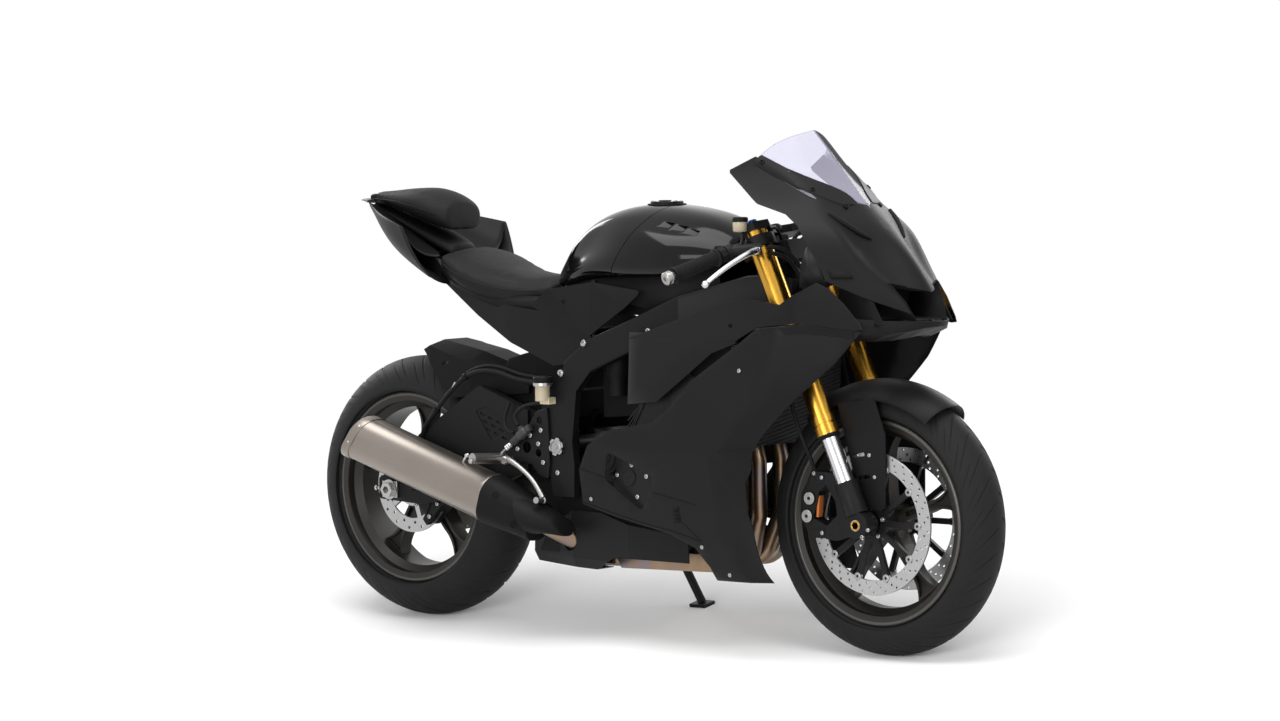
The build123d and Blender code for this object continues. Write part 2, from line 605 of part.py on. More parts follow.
# ---- frame and what hangs on it ----
def main_frame():
    """Twin spars from the head tube to the pivot plates, with two cross members."""
    low, high = steer_at(LOWER_CLAMP_Z) + 22, steer_at(UPPER_CLAMP_Z) - 16
    tube = extrude(STEER.offset(low) * Circle(HEAD_TUBE_RADIUS), amount=high - low)
    # x, then the spar's middle y and z, half width and half height there
    stations = [
        (428, 34, 800, 13, 46), (350, 62, 795, 13, 48), (200, 118, 757, 17, 42),
        (60, 134, 700, 17, 38), (-60, 139, 652, 14, 40), (-130, 142, 600, 10, 40),
    ]
    rings = []
    for x, y, z, half_width, half_height in stations:
        place = Plane(origin=(x, -y, z), x_dir=(0, 1, 0), z_dir=(1, 0, 0))
        rings.append(place * RectangleRounded(2 * half_width, 2 * half_height, 8))
    spar = loft(rings, ruled=True)
    plate = slab([(-38, 700), (-80, 676), (-110, 641), (-172, 573), (-198, 529), (-190, 458), (-165, PLATE_FOOT_Z),
                  (-102, PLATE_FOOT_Z), (-100, 400), (-106, 452), (-92, 571), (-20, 650)],
                 -PLATE_OUTER_Y, -PLATE_INNER_Y)
    side = spar + plate
    side += stud((-60, -120, 670), (-60, -120, 900), fuel_tank())
    side += stud((200, -112, 780), (200, -112, 900), airbox_cover())
    frame = tube + slab([(440, 760), (452, 835), (405, 850), (395, 752)], -36, 36) + mirrored(side)
    for x, z, radius in ((-150, 575, 16), (-134, 338, 11)):
        frame += rod(x, z, radius, -PLATE_INNER_Y - 1, PLATE_INNER_Y + 1)
    frame -= extrude(STEER.offset(low - 80) * Circle(STEM_RADIUS + RUNNING_GAP), amount=400)
    frame -= rod(*PIVOT, PIVOT_BOLT_RADIUS + SEAT_GAP, -PLATE_OUTER_Y - 1, PLATE_OUTER_Y + 1)
    return frame


def subframe():
    """Rear rails from the frame up to the tail, with cross tubes and the posts of the seat."""
    rows = [
        [(-64, -125, 600), (-64, -125, 720)],
        [(-330, -118, 600), (-330, -118, 790)],
        [(-560, -100, 780), (-560, -100, 900)],
        [(-720, -66, 850), (-720, -66, 960)],
    ]
    rail = skin(rows, wall=11, ruled=True)
    top = [(x, z - SEAT_GAP) for x, half_width, z in reversed(TAIL_FLOOR[:3])]
    outline = slab([(-66, 706), (-84, 638), (-185, 626), (-320, 676), (-430, 738), (-560, 826), (-700, 890), *top,
                    (-545, 842), (-490, 810), (-400, 778), (-300, 760), (-180, 748)], -140, -30)
    rail = rail & outline
    frame = mirrored(rail)
    for x, z, half in ((-180, 700, 112), (-400, 745, 106), (-640, 882, 78)):
        frame += rod(x, z, 9, -half, half)
    post = stud((-400, -60, 745), (-400, -60, 860), rider_seat())
    return frame + mirrored(post)


def engine_block():
    """Crankcase, inclined cylinders and head, as one plain mass."""
    case = slab([(-10, 300), (-10, 430), (60, 470), (190, 470), (250, 400), (240, 262), (180, 212), (-10, 212)],
                -CASE_HALF, CASE_HALF)
    rear = slab([(-92, 330), (-92, 480), (0, 470), (0, 212), (-60, 230)], -85, 85)
    cylinders = slab([(60, 460), (172, 655), HEAD_TOP, HEAD_LOW], -160, 160)
    shaft = rod(*COUNTERSHAFT, COUNTERSHAFT_RADIUS, 80, CHAIN_Y + 12)
    return case + rear + cylinders + shaft


def engine_covers():
    """Clutch cover and the small cover seen through the right panel, generator cover on the left."""
    seat = CASE_HALF + SEAT_GAP
    clutch = rod(-2, 425, 58, -146, -seat) + rod(-2, 425, 42, -160, -140)
    small = slab([(72, 436), (186, 388), (142, 318), (54, 378)], -194, -seat, rounding=10)
    generator = rod(128, 338, 62, seat, 176)
    return Compound([*(clutch + small).solids(), *generator.solids()])


def radiator():
    """Core between two side tanks, leaning with the wheel, hung from the spars."""
    core = slab([(412, 463), (421, 684), (393, 688), (384, 468)], -160, 160)
    tanks = slab([(413, 463), (422, 688), (391, 692), (382, 468)], -RADIATOR_HALF, -160)
    stay = stud((401, -34, 680), (401, -34, 790), main_frame())
    return core + mirrored(tanks + stay)


def exhaust_headers():
    """Four pipes down from the head into the collector under the engine, and the link pipe."""
    body = slab([(-40, 200), (250, 206), (300, 190), (250, 166), (-20, 160)], -84, 84, rounding=8)
    way = Vector(HEAD_TOP[1] - HEAD_LOW[1], HEAD_LOW[0] - HEAD_TOP[0]).normalized()
    port = Vector(*HEAD_LOW) + (Vector(*HEAD_TOP) - Vector(*HEAD_LOW)) * 0.62 + way * SEAT_GAP
    knee = port + way * 48
    for y, y_low in ((-112, -62), (-42, -22), (42, 22), (112, 62)):
        path = [(port.X, y, port.Y), (knee.X, y, knee.Y), (HEADER_X, y, 420), (HEADER_X, y, 300), (316, y_low, 196),
                (220, y_low, 186)]
        body += pipe(path, HEADER_RADIUS, [22, 40, 60, 40])
    return body + pipe(LINK_PATH, LINK_RADIUS, LINK_BENDS)


def silencer():
    """Oval can with a slanted end cap."""
    way = (SILENCER_END - SILENCER_START).normalized()
    plane = Plane(origin=SILENCER_START, x_dir=(0, 1, 0), z_dir=way)
    can = extrude(plane * RectangleRounded(CAN_WIDTH, CAN_HEIGHT, CAN_CORNER), amount=(SILENCER_END - SILENCER_START).length + 40)
    cut = slab([(-672, 520), (-775, 380), (-900, 380), (-900, 520)], -300, -100)
    sleeve = extrude(plane * RectangleRounded(CAN_WIDTH + 4, CAN_HEIGHT + 4, CAN_CORNER + 2), amount=600)
    end_band = sleeve & slab([(-672, 520), (-775, 380), (-747, 380), (-644, 520)], -300, -100)
    front_band = extrude(plane.offset(2) * RectangleRounded(CAN_WIDTH + 3, CAN_HEIGHT + 3, CAN_CORNER + 1.5), amount=10)
    tip = extrude(plane.offset(330) * Circle(30), amount=200)
    return can + end_band + front_band - cut - tip


def silencer_cover():
    """Moulded shield round the pipe in front of the can."""
    way = (SILENCER_END - SILENCER_START).normalized()
    start = Plane(origin=SILENCER_START - way * SEAT_GAP, x_dir=(0, 1, 0), z_dir=way)
    front = Plane(origin=(-185, -180, 266), x_dir=(0, 1, 0), z_dir=way)
    shell = loft([start * RectangleRounded(CAN_WIDTH + 8, CAN_HEIGHT + 6, CAN_CORNER + 2), front * RectangleRounded(84, 92, 34)])
    return shell - pipe(LINK_PATH, LINK_RADIUS + SEAT_GAP, LINK_BENDS)


def swingarm():
    """Two gull-shaped arms joined ahead of the tyre, with the pivot tube and the axle slots."""
    x, z = REAR_AXLE
    px, pz = PIVOT
    arm = slab([(x - 40, z - 24), (x - 40, z + 26), (x + 50, z + 70), (x + 91.5, z + 135), (x + 285.5, z + 259),
                (px - 104, pz + 81), (px + 36, pz + 41), (px + 36, pz - 39), (px - 102, pz - 63), (x + 287.5, z + 7),
                (x + 97.5, z - 32)], -ARM_OUTER_Y, -ARM_INNER_Y, rounding=8)
    arm -= slab([(px - 102, 600), (px + 88, 600), (px + 88, 300), (px - 102, 300)],
                -ARM_OUTER_Y - 1, -PLATE_INNER_Y + SEAT_GAP)
    arm -= arm_panel(-ARM_OUTER_Y)
    arm += stud((x + 291.5, -ARM_INNER_Y - 4, z + 243), (x + 291.5, -40, z + 243), rear_hugger(), radius=4)
    rear_low = max(352, lower_run_z(-305) + CHAIN_ROOM)
    front_low = max(360, lower_run_z(-215) + CHAIN_ROOM)
    brace = slab([(-305, rear_low), (-305, 428), (-215, 428), (-215, front_low)], -ARM_INNER_Y - 1, ARM_INNER_Y + 1)
    web = slab([(-260, 370), (-260, 428), (-210, 428), (-160, 459), (-126, 441), (-148, 419)], -ARM_BRIDGE, ARM_BRIDGE)
    tube = rod(px, pz, PIVOT_BOLT_RADIUS + 12, -ARM_INNER_Y - 1, ARM_BRIDGE)
    body = arm + mirror(arm, Plane.XZ) + brace + web + tube
    body -= rod(px, pz, PIVOT_BOLT_RADIUS + SEAT_GAP, -ARM_OUTER_Y - 1, ARM_OUTER_Y + 1)
    body -= rod(x, z, AXLE_RADIUS + SEAT_GAP, -ARM_OUTER_Y - 1, ARM_OUTER_Y + 1)
    spool = rod(x + 70, z + 10, 10, -ARM_OUTER_Y - 10, -ARM_OUTER_Y + 1)
    body += both_sides(spool)
    hole = rod(x + 70, z + 10, 2.5, -ARM_OUTER_Y - 11, -ARM_OUTER_Y + 12)
    return body - both_sides(hole)


def arm_panel(face):
    """Shallow slotted panel pressed into the arm's outer face."""
    x, z = PIVOT
    outline = [(x - 266, z + 74), (x - 229, z + 85), (x - 177, z + 64), (x - 149, z + 39), (x - 215, z + 3)]
    sunk = slab(outline, face - 1, face + 1.6, rounding=5)
    for row in range(3):
        for column in range(3):
            at = Pos(x - 244 + 25 * column + 9 * row, 0, z + 66 - 9 * column - 18 * row)
            sunk += at * Rot(Y=20) * (Pos(0, face + 1.5, 0) * Box(14, 5, 5))
    return sunk


def pivot_bolt():
    end = PLATE_OUTER_Y + 10
    body = rod(*PIVOT, PIVOT_BOLT_RADIUS, -end, end, bore=5)
    nut = rod(*PIVOT, PIVOT_BOLT_RADIUS + PIVOT_NUT_WALL, -PLATE_OUTER_Y - 9, -PLATE_OUTER_Y - SEAT_GAP, bore=6)
    return body + nut + mirror(nut, Plane.XZ)


def rear_axle():
    x, z = REAR_AXLE
    end = ARM_OUTER_Y + 14
    body = rod(x, z, AXLE_RADIUS, -end, end, bore=AXLE_BORE)
    nut = rod(x, z, AXLE_RADIUS + NUT_WALL, -ARM_OUTER_Y - 10, -ARM_OUTER_Y - SEAT_GAP, bore=AXLE_BORE + 1)
    round_axle = AXLE_RADIUS + SPACER_WALL
    spacer = rod(x, z, round_axle, -ARM_INNER_Y + SEAT_GAP, -REAR_DISC_Y - 6, bore=AXLE_BORE + 1)
    left_spacer = rod(x, z, round_axle, CHAIN_Y + SPROCKET_THICKNESS / 2 + 3, ARM_INNER_Y - SEAT_GAP, AXLE_BORE + 1)
    return body + nut + mirror(nut, Plane.XZ) + spacer + left_spacer


def rear_caliper():
    """Bracket on the axle spacer and the caliper over the disc's lower front edge."""
    x, z = REAR_AXLE
    eye = AXLE_RADIUS + SPACER_WALL + SEAT_GAP
    bracket = slab([(x, z + eye + 7), (x + 24, z + eye + 5), (x + 84, z - 30), (x + 70, z - 60), (x + 30, z - eye - 9),
                    (x, z - eye - 5)], -96, -84) + rod(x, z, eye + 6, -96, -84)
    bracket -= rod(x, z, eye, -97, -83)
    body = slab([(x + 66, z - 88), (x + 122, z - 32), (x + 100, z - 4), (x + 90, z - 14), (x + 54, z - 74)], -92, -44)
    body -= rod(x, z, REAR_DISC_RADIUS + 3, -REAR_DISC_Y - PAD_GAP, -REAR_DISC_Y + PAD_GAP)
    return bracket + body


def chain_line():
    """Sprocket centres and pitch radii, and the tilt and wrap of the loop round them."""
    front_r, rear_r = pitch_radius(FRONT_TEETH), pitch_radius(REAR_TEETH)
    front, rear = Vector(COUNTERSHAFT[0], COUNTERSHAFT[1]), Vector(*REAR_AXLE)
    span = front - rear
    return front, rear, front_r, rear_r, atan2(span.Y, span.X), acos((rear_r - front_r) / span.length)


def lower_run_z(x):
    """Height of the chain's lower run, at its middle line."""
    front, rear, front_r, rear_r, tilt, spread = chain_line()
    normal = Vector(cos(tilt - spread), sin(tilt - spread))
    start = rear + normal * rear_r
    return start.Y - (x - start.X) * normal.X / normal.Y


def drive_chain():
    """Fixed loop: two rows of side plates that straddle the sprockets, and pins along the runs."""
    front, rear, front_r, rear_r, tilt, spread = chain_line()

    def tangent(centre, radius, side):
        return centre + Vector(cos(tilt + side * spread), sin(tilt + side * spread)) * radius

    def loop(offset):
        low, high = -1, 1
        a, b = tangent(rear, rear_r + offset, high), tangent(front, front_r + offset, high)
        c, d = tangent(front, front_r + offset, low), tangent(rear, rear_r + offset, low)
        nose = front + Vector(cos(tilt), sin(tilt)) * (front_r + offset)
        tail = rear - Vector(cos(tilt), sin(tilt)) * (rear_r + offset)
        return make_face([Line(a, b), ThreePointArc(b, nose, c), Line(c, d), ThreePointArc(d, tail, a)])

    band = loop(7) - loop(-7)
    inner = SPROCKET_THICKNESS / 2 + 0.8
    y_near, y_far = CHAIN_Y - inner, CHAIN_Y + inner
    chain = extrude(Plane.XZ.offset(-y_near) * band, amount=CHAIN_PLATE)
    chain += extrude(Plane.XZ.offset(-y_far - CHAIN_PLATE) * band, amount=CHAIN_PLATE)
    for side in (-1, 1):
        a, b = tangent(rear, rear_r, side), tangent(front, front_r, side)
        run = (b - a).length
        count = int((run - 60 - 36) / (4 * CHAIN_PITCH))
        for link in range(count + 1):
            at = a + (b - a) * ((60 + link * 4 * CHAIN_PITCH) / run)
            chain += rod(at.X, at.Y, 4.2, y_near - 1, y_far + 1)
    return chain


def front_sprocket():
    half = SPROCKET_THICKNESS / 2
    plate = toothed_plate(FRONT_TEETH, COUNTERSHAFT_RADIUS + SEAT_GAP, CHAIN_Y - half, CHAIN_Y + half)
    return Pos(COUNTERSHAFT[0], 0, COUNTERSHAFT[1]) * plate


def rear_shock():
    """Damper with its spring sleeve behind the engine, from the frame to the swingarm brace."""
    top, low = Vector(-159, 0, 559), Vector(-236, 0, 432)
    way = (top - low).normalized()
    return bar(low, top, 7) + bar(low + way * 36, low + way * 112, 24)


def rear_hugger():
    """Mudguard over the tyre: a peaked roof and two cheeks, open below."""
    x, z = REAR_AXLE
    half = REAR_HALF_WIDTH + 8
    # x, ridge height, eaves height, half width
    table = [(x + 53.5, z + 337, z + 331, half - 12), (x + 87.5, z + 358, z + 346, half - 4),
             (x + 217.5, z + 333, z + 308, half), (x + 395.5, z + 279, z + 258, half - 10)]
    outer, hollow = [], []
    for at, ridge, eaves, wide in table:
        points = [(-wide, 500), (-wide, eaves), (-0.42 * wide, ridge), (0.42 * wide, ridge), (wide, eaves), (wide, 500)]
        thin = [(y - WALL if y > 0 else y + WALL, up - WALL) for y, up in points]
        outer.append(make_face(Polyline(*[(at, y, up) for y, up in points], close=True)))
        hollow.append(make_face(Polyline(*[(at, y, up) for y, up in thin], close=True)))
    body = loft(outer, ruled=True) - loft(hollow, ruled=True)
    keep = slab([(x + 53, 660), (x + 73.5, z + 325), (x + 123.5, z + 251), (x + 158.5, z + 221), (x + 217.5, z + 230),
                 (x + 287.5, z + 231), (x + 396, z + 241), (x + 396, 700), (x + 53, 700)], -200, 200)
    slot = slab([(x + 128, z + 300), (x + 152, z + 306), (x + 152, z + 312), (x + 128, z + 306)], -200, -half + 20)
    return (body & keep) - slot


def footrests():
    """Rear-set plates with the pegs and pedals, and the silencer's hanger on the right."""
    face = -PLATE_OUTER_Y - SEAT_GAP
    plate = slab([(-178, 540), (-150, 530), (-160, 372), (-190, 350), (-312, 396), (-318, 420), (-230, 450)],
                 face - 8, face)
    plate -= rod(*PIVOT, PIVOT_BOLT_RADIUS + PIVOT_NUT_WALL + 2, face - 20, face + 1)
    peg = bar((-306, face - 4, 408), (-318, -262, 414), 9)
    pedal = pipe([(-290, face - 14, 404), (-236, face - 24, 384), (-180, face - 28, 346), (-158, face - 28, 322)],
                 6, [20, 20])
    pedal += bar((-290, face - 5, 404), (-290, face - 20, 404), 8)
    right = plate + peg + pedal
    hanger = stud((-304, face - 6, 404), (-352, face - 40, 350), silencer())
    return Compound([*(right + hanger).solids(), *mirror(right, Plane.XZ).solids()])


def brake_reservoir():
    """Cup with its lid, on a tab of the right side plate."""
    x, y, z = -174, -PLATE_OUTER_Y - 24, 548
    cup = extrude(Plane(origin=(x, y, z)) * Circle(17), amount=34)
    cup += extrude(Plane(origin=(x, y, z + 34)) * Circle(20), amount=12)
    return cup + slab([(x - 8, z + 8), (x + 20, z + 8), (x + 20, z - 8), (x - 8, z - 8)], y, -PLATE_OUTER_Y - SEAT_GAP)


# ---- tank, seat and tail ----
def tank_master():
    table = [
        (-222, (52, 64, 40), 800, 846, 856),
        (-150, (92, 112, 70), 806, 900, 924),
        (-60, (128, 150, 92), 828, 960, 990),
        (60, (150, 166, 104), 832, 968, 1003),
        (180, (150, 162, 100), 838, 952, 992),
        (260, (120, 136, 92), 850, 936, 974),
        (316, (90, 102, 72), 872, 912, 936),
    ]
    return arched(table)


def cap_hinge():
    """Point on the lid's hinge line, at its front edge."""
    return CAP_CENTRE[0] + CAP_RADIUS + 2, CAP_CENTRE[1], CAP_SEAT_Z + 4


def tank_split(side, gap):
    """Everything behind (-1) or ahead (+1) of the slanted seam in the tank."""
    low, high = -8 + side * gap / 2, 128 + side * gap / 2
    far = side * 500
    return slab([(low - 20, 780), (high + 20, 1060), (far, 1060), (far, 780)], -250, 250)


def fuel_tank():
    body = tank_master() & tank_split(-1, PANEL_GAP)
    x, y = CAP_CENTRE
    body -= extrude(Plane(origin=(x, y, CAP_SEAT_Z)) * Circle(CAP_RADIUS + 8), amount=60)
    body -= extrude(Plane(origin=(x, y, CAP_SEAT_Z - 14)) * Circle(24), amount=40)
    return body


def airbox_cover():
    """Front part of the tank's shape, with three vents cut into each shoulder."""
    body = tank_master() & tank_split(1, PANEL_GAP)
    for x, z in ((166, 950), (202, 946), (236, 939)):
        vent = Pos(x, -112, z) * Rot(X=45) * Rot(Y=30) * Box(36, 6, 22)
        body -= both_sides(vent)
    return body


def fuel_cap():
    x, y = CAP_CENTRE
    lid = extrude(Plane(origin=(x, y, CAP_SEAT_Z + SEAT_GAP)) * Circle(CAP_RADIUS), amount=7)
    lid += extrude(Plane(origin=(x, y, CAP_SEAT_Z - 9)) * Circle(20), amount=10)
    return lid


def tank_side_covers():
    """Flat covers below the tank."""
    plate = slab([(-226, 766), (-173, 806), (-38, 824), (112, 806), (60, 768), (-48, 700)], -156, -150, rounding=6)
    return both_sides(plate)


def airbox():
    """Closed box between the spars, under the tank's cover, with the studs of the side covers."""
    rings = []
    for x, half in ((-40, 98), (180, 94), (330, 42)):
        rings.append(make_face(Polyline((x, -half, 748), (x, half, 748), (x, half, 824), (x, -half, 824), close=True)))
    body = loft(rings, ruled=True)
    arm = stud((-20, -80, 800), (-20, -170, 800), tank_side_covers().solids()[0])
    foot = stud((150, -70, 760), (150, -140, 760), main_frame())
    return body + mirrored(arm + foot)


def rider_seat():
    table = [
        (-228, (60, 72, 52), 782, 812, 824),
        (-300, (96, 112, 84), 772, 816, 830),
        (-400, (118, 136, 104), 786, 834, 848),
        (-490, (118, 138, 108), 816, 868, 880),
        (-548, (96, 112, 90), 850, 884, 892),
    ]
    return arched(table)


def rear_seat_pad():
    table = [
        (-566, (40, 62, 44), 930, 992, 1004),
        (-640, (68, 88, 62), 958, 1014, 1030),
        (-740, (56, 70, 48), 988, 1016, 1029),
        (-848, (30, 40, 26), 1004, 1014, 1022),
    ]
    return arched(table)


def tail_cowl():
    """Spine under the pad, floor, and a wing panel each side."""
    table = [
        (-562, (52, 62, 40), 869, 912, 922),
        (-640, (66, 78, 56), 897, 938, 950),
        (-740, (54, 64, 44), 944, 966, 980),
        (-850, (28, 36, 22), 986, 993, 998),
    ]
    spine = arched(table)
    rows = [
        [(-528, -146, 780), (-528, -146, 1040)], [(-566, -180, 780), (-566, -180, 1040)],
        [(-606, -190, 780), (-606, -190, 1040)], [(-700, -140, 780), (-700, -140, 1040)],
        [(-826, -60, 780), (-826, -60, 1040)],
    ]
    wing = skin(rows, ruled=True)
    wing = wing & slab([(-606, 963), (-566, 873), (-530, 816), (-600, 858), (-700, 900), (-800, 972), (-824, 1003),
                        (-790, 990)], -260, -20)
    floor = loft([make_face(Polyline((x, -y, z), (x, y, z), (x, y, z + WALL), (x, -y, z + WALL), close=True))
                  for x, y, z in TAIL_FLOOR], ruled=True)
    posts = [stud((x, 0, z), (x, 0, z + 90), rear_seat_pad()) for x, z in ((-620, 920), (-760, 960))]
    return spine + mirrored(wing) + floor + posts[0] + posts[1]


# ---- body panels ----
def nose_master():
    # z, front x, shoulder x and y, rear x and y
    table = [
        (NOSE_BOTTOM, 858, 822, 140, 600, 218), (842, 786, 735, 138, 600, 230), (892, 738, 690, 132, 580, 216),
        (942, 692, 648, 126, 530, 198), (1000, 640, 590, 122, 460, 176), (1082, 567, 500, 114, 352, 152),
        (1170, 488, 424, 96, 280, 128),
    ]
    return loft([hoop(z, front, (sx, sy), (rx, ry)) for z, front, sx, sy, rx, ry in table])


def nose_cowl():
    body = nose_master() & slab(NOSE_OUTLINE, -300, 300)
    intake = loft([make_face(Polyline((900, -y, z), (900, y, z), (640, y * 0.6, z), (640, -y * 0.6, z), close=True))
                   for y, z in ((52, 752), (92, 832))])
    return body - intake


def windscreen():
    return nose_master() & slab(SCREEN_OUTLINE, -300, 300)


def chin_panel():
    """Curved blade under the nose that closes the front above the radiator."""
    top = NOSE_BOTTOM - SEAT_GAP
    table = [(top, 868, 800, 110, 706, 132), (690, 800, 740, 94, 676, 112), (640, 730, 690, 70, 650, 82)]
    return loft([hoop(z, front, (sx, sy), (rx, ry)) for z, front, sx, sy, rx, ry in table])


def upper_panels():
    """Gloss panels between the nose and the side panels."""
    rows = [
        [(80, -176, 690), (430, -214, 690), (600, -226, 690), (830, -150, 690)],
        [(80, -176, 850), (430, -222, 850), (600, -236, 850), (830, -158, 850)],
    ]
    body = skin(rows, ruled=True)
    body = body & slab([(86, 700), (384, 787), (470, 800), (561, 788), (655, 838), (740, 792), (812, 754), (800, 742),
                        (732, 733), (606, 748), (491, 735), (430, 706)], -300, -100)
    return both_sides(body)


def side_panels():
    """Main side panels, widest along a crease, with the window over the engine cover."""
    # z, rear (x, y), crease (x, y), front (x, y)
    upper = [(458, -40, 236, 388, 240, 452, 190), (600, 200, 224, 505, 238, 620, 190), (745, 330, 214, 560, 232, 740, 150)]
    lower = [(155, 250, 150, 440, 178, 500, 162), (290, -60, 190, 400, 208, 446, 184), (458, -40, 236, 388, 240, 452, 190)]
    body = None
    for table in (upper, lower):
        rows = [[(rx, -ry, z), (cx, -cy, z), (fx, -fy, z)] for z, rx, ry, cx, cy, fx, fy in table]
        part = skin(rows)
        body = part if body is None else body + part
    outline = [(10, 456), (69, 492), (193, 514), (240, 544), (312, 615), (448, 701), (491, 731), (606, 744), (732, 729),
               (689, 672), (581, 579), (470, 475), (436, 386), (437, 318), (457, 250), (493, 164), (330, 160),
               (320, 190), (285, 233), (216, 261), (51, 294), (-36, 317), (-28, 399)]
    body = body & slab(outline, -300, -100)
    window = slab([(68, 444), (196, 392), (142, 310), (46, 378)], -300, -100, rounding=12)
    return both_sides(body - window)


def mid_panels():
    """Dark triangular panels over the cylinders, lapped behind the upper panels."""
    rows = [[(80, -176, 540), (430, -206, 540)], [(80, -172.4, 716), (430, -211, 716)]]
    outline = [(88, 714), (424, 716), (424, 699), (348, 674), (173, 558), (82, 549)]
    return both_sides(skin(rows, ruled=True) & slab(outline, -300, -100))


def belly_pan():
    """Trough under the engine, open on top, cut away round the collector."""
    # x, half width at the top, half width at the bottom, z bottom
    table = [(-291, 72, 60, 160), (-130, 130, 112, 158), (60, 156, 138, 156), (240, 160, 140, 156)]
    rings = []
    for x, top, low, z in table:
        outer = [(x, -top, 300), (x, -low - 16, z + 24), (x, -low, z), (x, low, z), (x, low + 16, z + 24), (x, top, 300)]
        inner = [(x, top - WALL, 300), (x, low + 16 - WALL, z + 24), (x, low - WALL, z + WALL), (x, WALL - low, z + WALL),
                 (x, WALL - low - 16, z + 24), (x, WALL - top, 300)]
        rings.append(make_face(Polyline(*outer, *inner, close=True)))
    body = loft(rings, ruled=True)
    keep = slab([(-292, 150), (-292, 213), (-130, 292), (-30, 292), (60, 270), (216, 254), (240, 240), (240, 192),
                 (13, 192), (-75, 150)], -200, 200)
    return (body & keep) - pipe(LINK_PATH, LINK_RADIUS + 6, LINK_BENDS)


def instrument_panel():
    face = Plane(origin=(546, 0, 992), x_dir=(0, 1, 0), z_dir=(-0.83, 0, 0.56))
    return extrude(face * RectangleRounded(150, 86, 14), amount=26)


def fairing_stays():
    """Bracket from the head tube for the nose and instruments, and rods out to the panels."""
    head = extrude(STEER.offset(steer_at(LOWER_CLAMP_Z)) * Circle(HEAD_TUBE_RADIUS + SEAT_GAP), amount=200)
    stay = pipe([(440, 0, 790), (580, 0, 850), (624, 0, 920)], 9, 30) - head
    arm = stud((620, 0, 905), (650, -190, 905), nose_cowl())
    dial_arm = stud((610, 0, 900), (540, 0, 1000), instrument_panel())
    bracket = stay + mirrored(arm) + dial_arm
    # one row per rod: x, y where it starts, z, and the panel it reaches
    engine_face, tank_face = CASE_HALF + SEAT_GAP, RADIATOR_HALF + SEAT_GAP
    table = [
        (204, engine_face, 280, side_panels()), (404, tank_face, 560, side_panels()),
        (200, SPAR_FACE, 724, upper_panels()), (60, engine_face, 240, belly_pan()),
    ]
    rods = [solid for x, y, z, panel in table for solid in both_sides(stud((x, -y, z), (x, -280, z), panel)).solids()]
    return Compound([*bracket.solids(), *rods])


# ---- side stand ----
def stand_foot_place():
    """Placement of the foot pad so that it lies flat on the ground once the machine leans."""
    ground = Pos(STAND_FOOT_X + SHIFT[0], STAND_REACH + SHIFT[1], 0)
    return PARKED.inverse() * ground


def stand_axis():
    foot = stand_foot_place().position
    down = (foot - STAND_PIVOT).normalized()
    folded = Vector(-0.985, 0.10, 0.12).normalized()
    return down.cross(folded).normalized()


def side_stand():
    """Leg from the pivot eye to a flat foot."""
    place = stand_foot_place()
    axis = stand_axis()
    foot = place * (Pos(0, 0, FOOT_THICKNESS / 2) * Box(46, 40, FOOT_THICKNESS))
    ankle = place.position + Vector(0, 0, FOOT_THICKNESS)
    way = (ankle - STAND_PIVOT).normalized()
    blade = Plane(origin=STAND_PIVOT - axis * EYE_HALF, x_dir=way, z_dir=axis)
    eye = extrude(blade * (Circle(EYE_RADIUS) + Pos(22, 0) * Rectangle(44, 22)), amount=2 * EYE_HALF)
    eye -= extrude(blade.offset(-1) * Circle(STAND_PIN_RADIUS + RUNNING_GAP), amount=2 * EYE_HALF + 2)
    return eye + bar(STAND_PIVOT + way * 40, ankle, 10) + foot


def stand_bracket():
    """Two cheeks round the stand's eye, its pin, and an arm up to the left frame plate."""
    axis = stand_axis()
    up = (Vector(0, 0, 1) - axis * axis.Z).normalized()
    inner = EYE_HALF + RUNNING_GAP
    outer = inner + CHEEK
    shape = Circle(EYE_RADIUS - 1) + Pos(18, 0) * Rectangle(36, 24)
    body = extrude(Plane(origin=STAND_PIVOT - axis * outer, x_dir=up, z_dir=axis) * shape, amount=2 * outer)
    body -= extrude(Plane(origin=STAND_PIVOT - axis * inner, x_dir=up, z_dir=axis) * (Circle(EYE_RADIUS + 3)),
                    amount=2 * inner)
    body += extrude(Plane(origin=STAND_PIVOT - axis * (outer + 1), z_dir=axis) * Circle(STAND_PIN_RADIUS), amount=2 * outer + 2)
    top = STAND_PIVOT + up * 30
    frame_room = slab([(-200, PLATE_FOOT_Z - SEAT_GAP), (-60, PLATE_FOOT_Z - SEAT_GAP), (-60, 400), (-200, 400)], 0, 200)
    return body + bar(top, (-134, (PLATE_INNER_Y + PLATE_OUTER_Y) / 2, PLATE_FOOT_Z + 6), 9) - frame_room


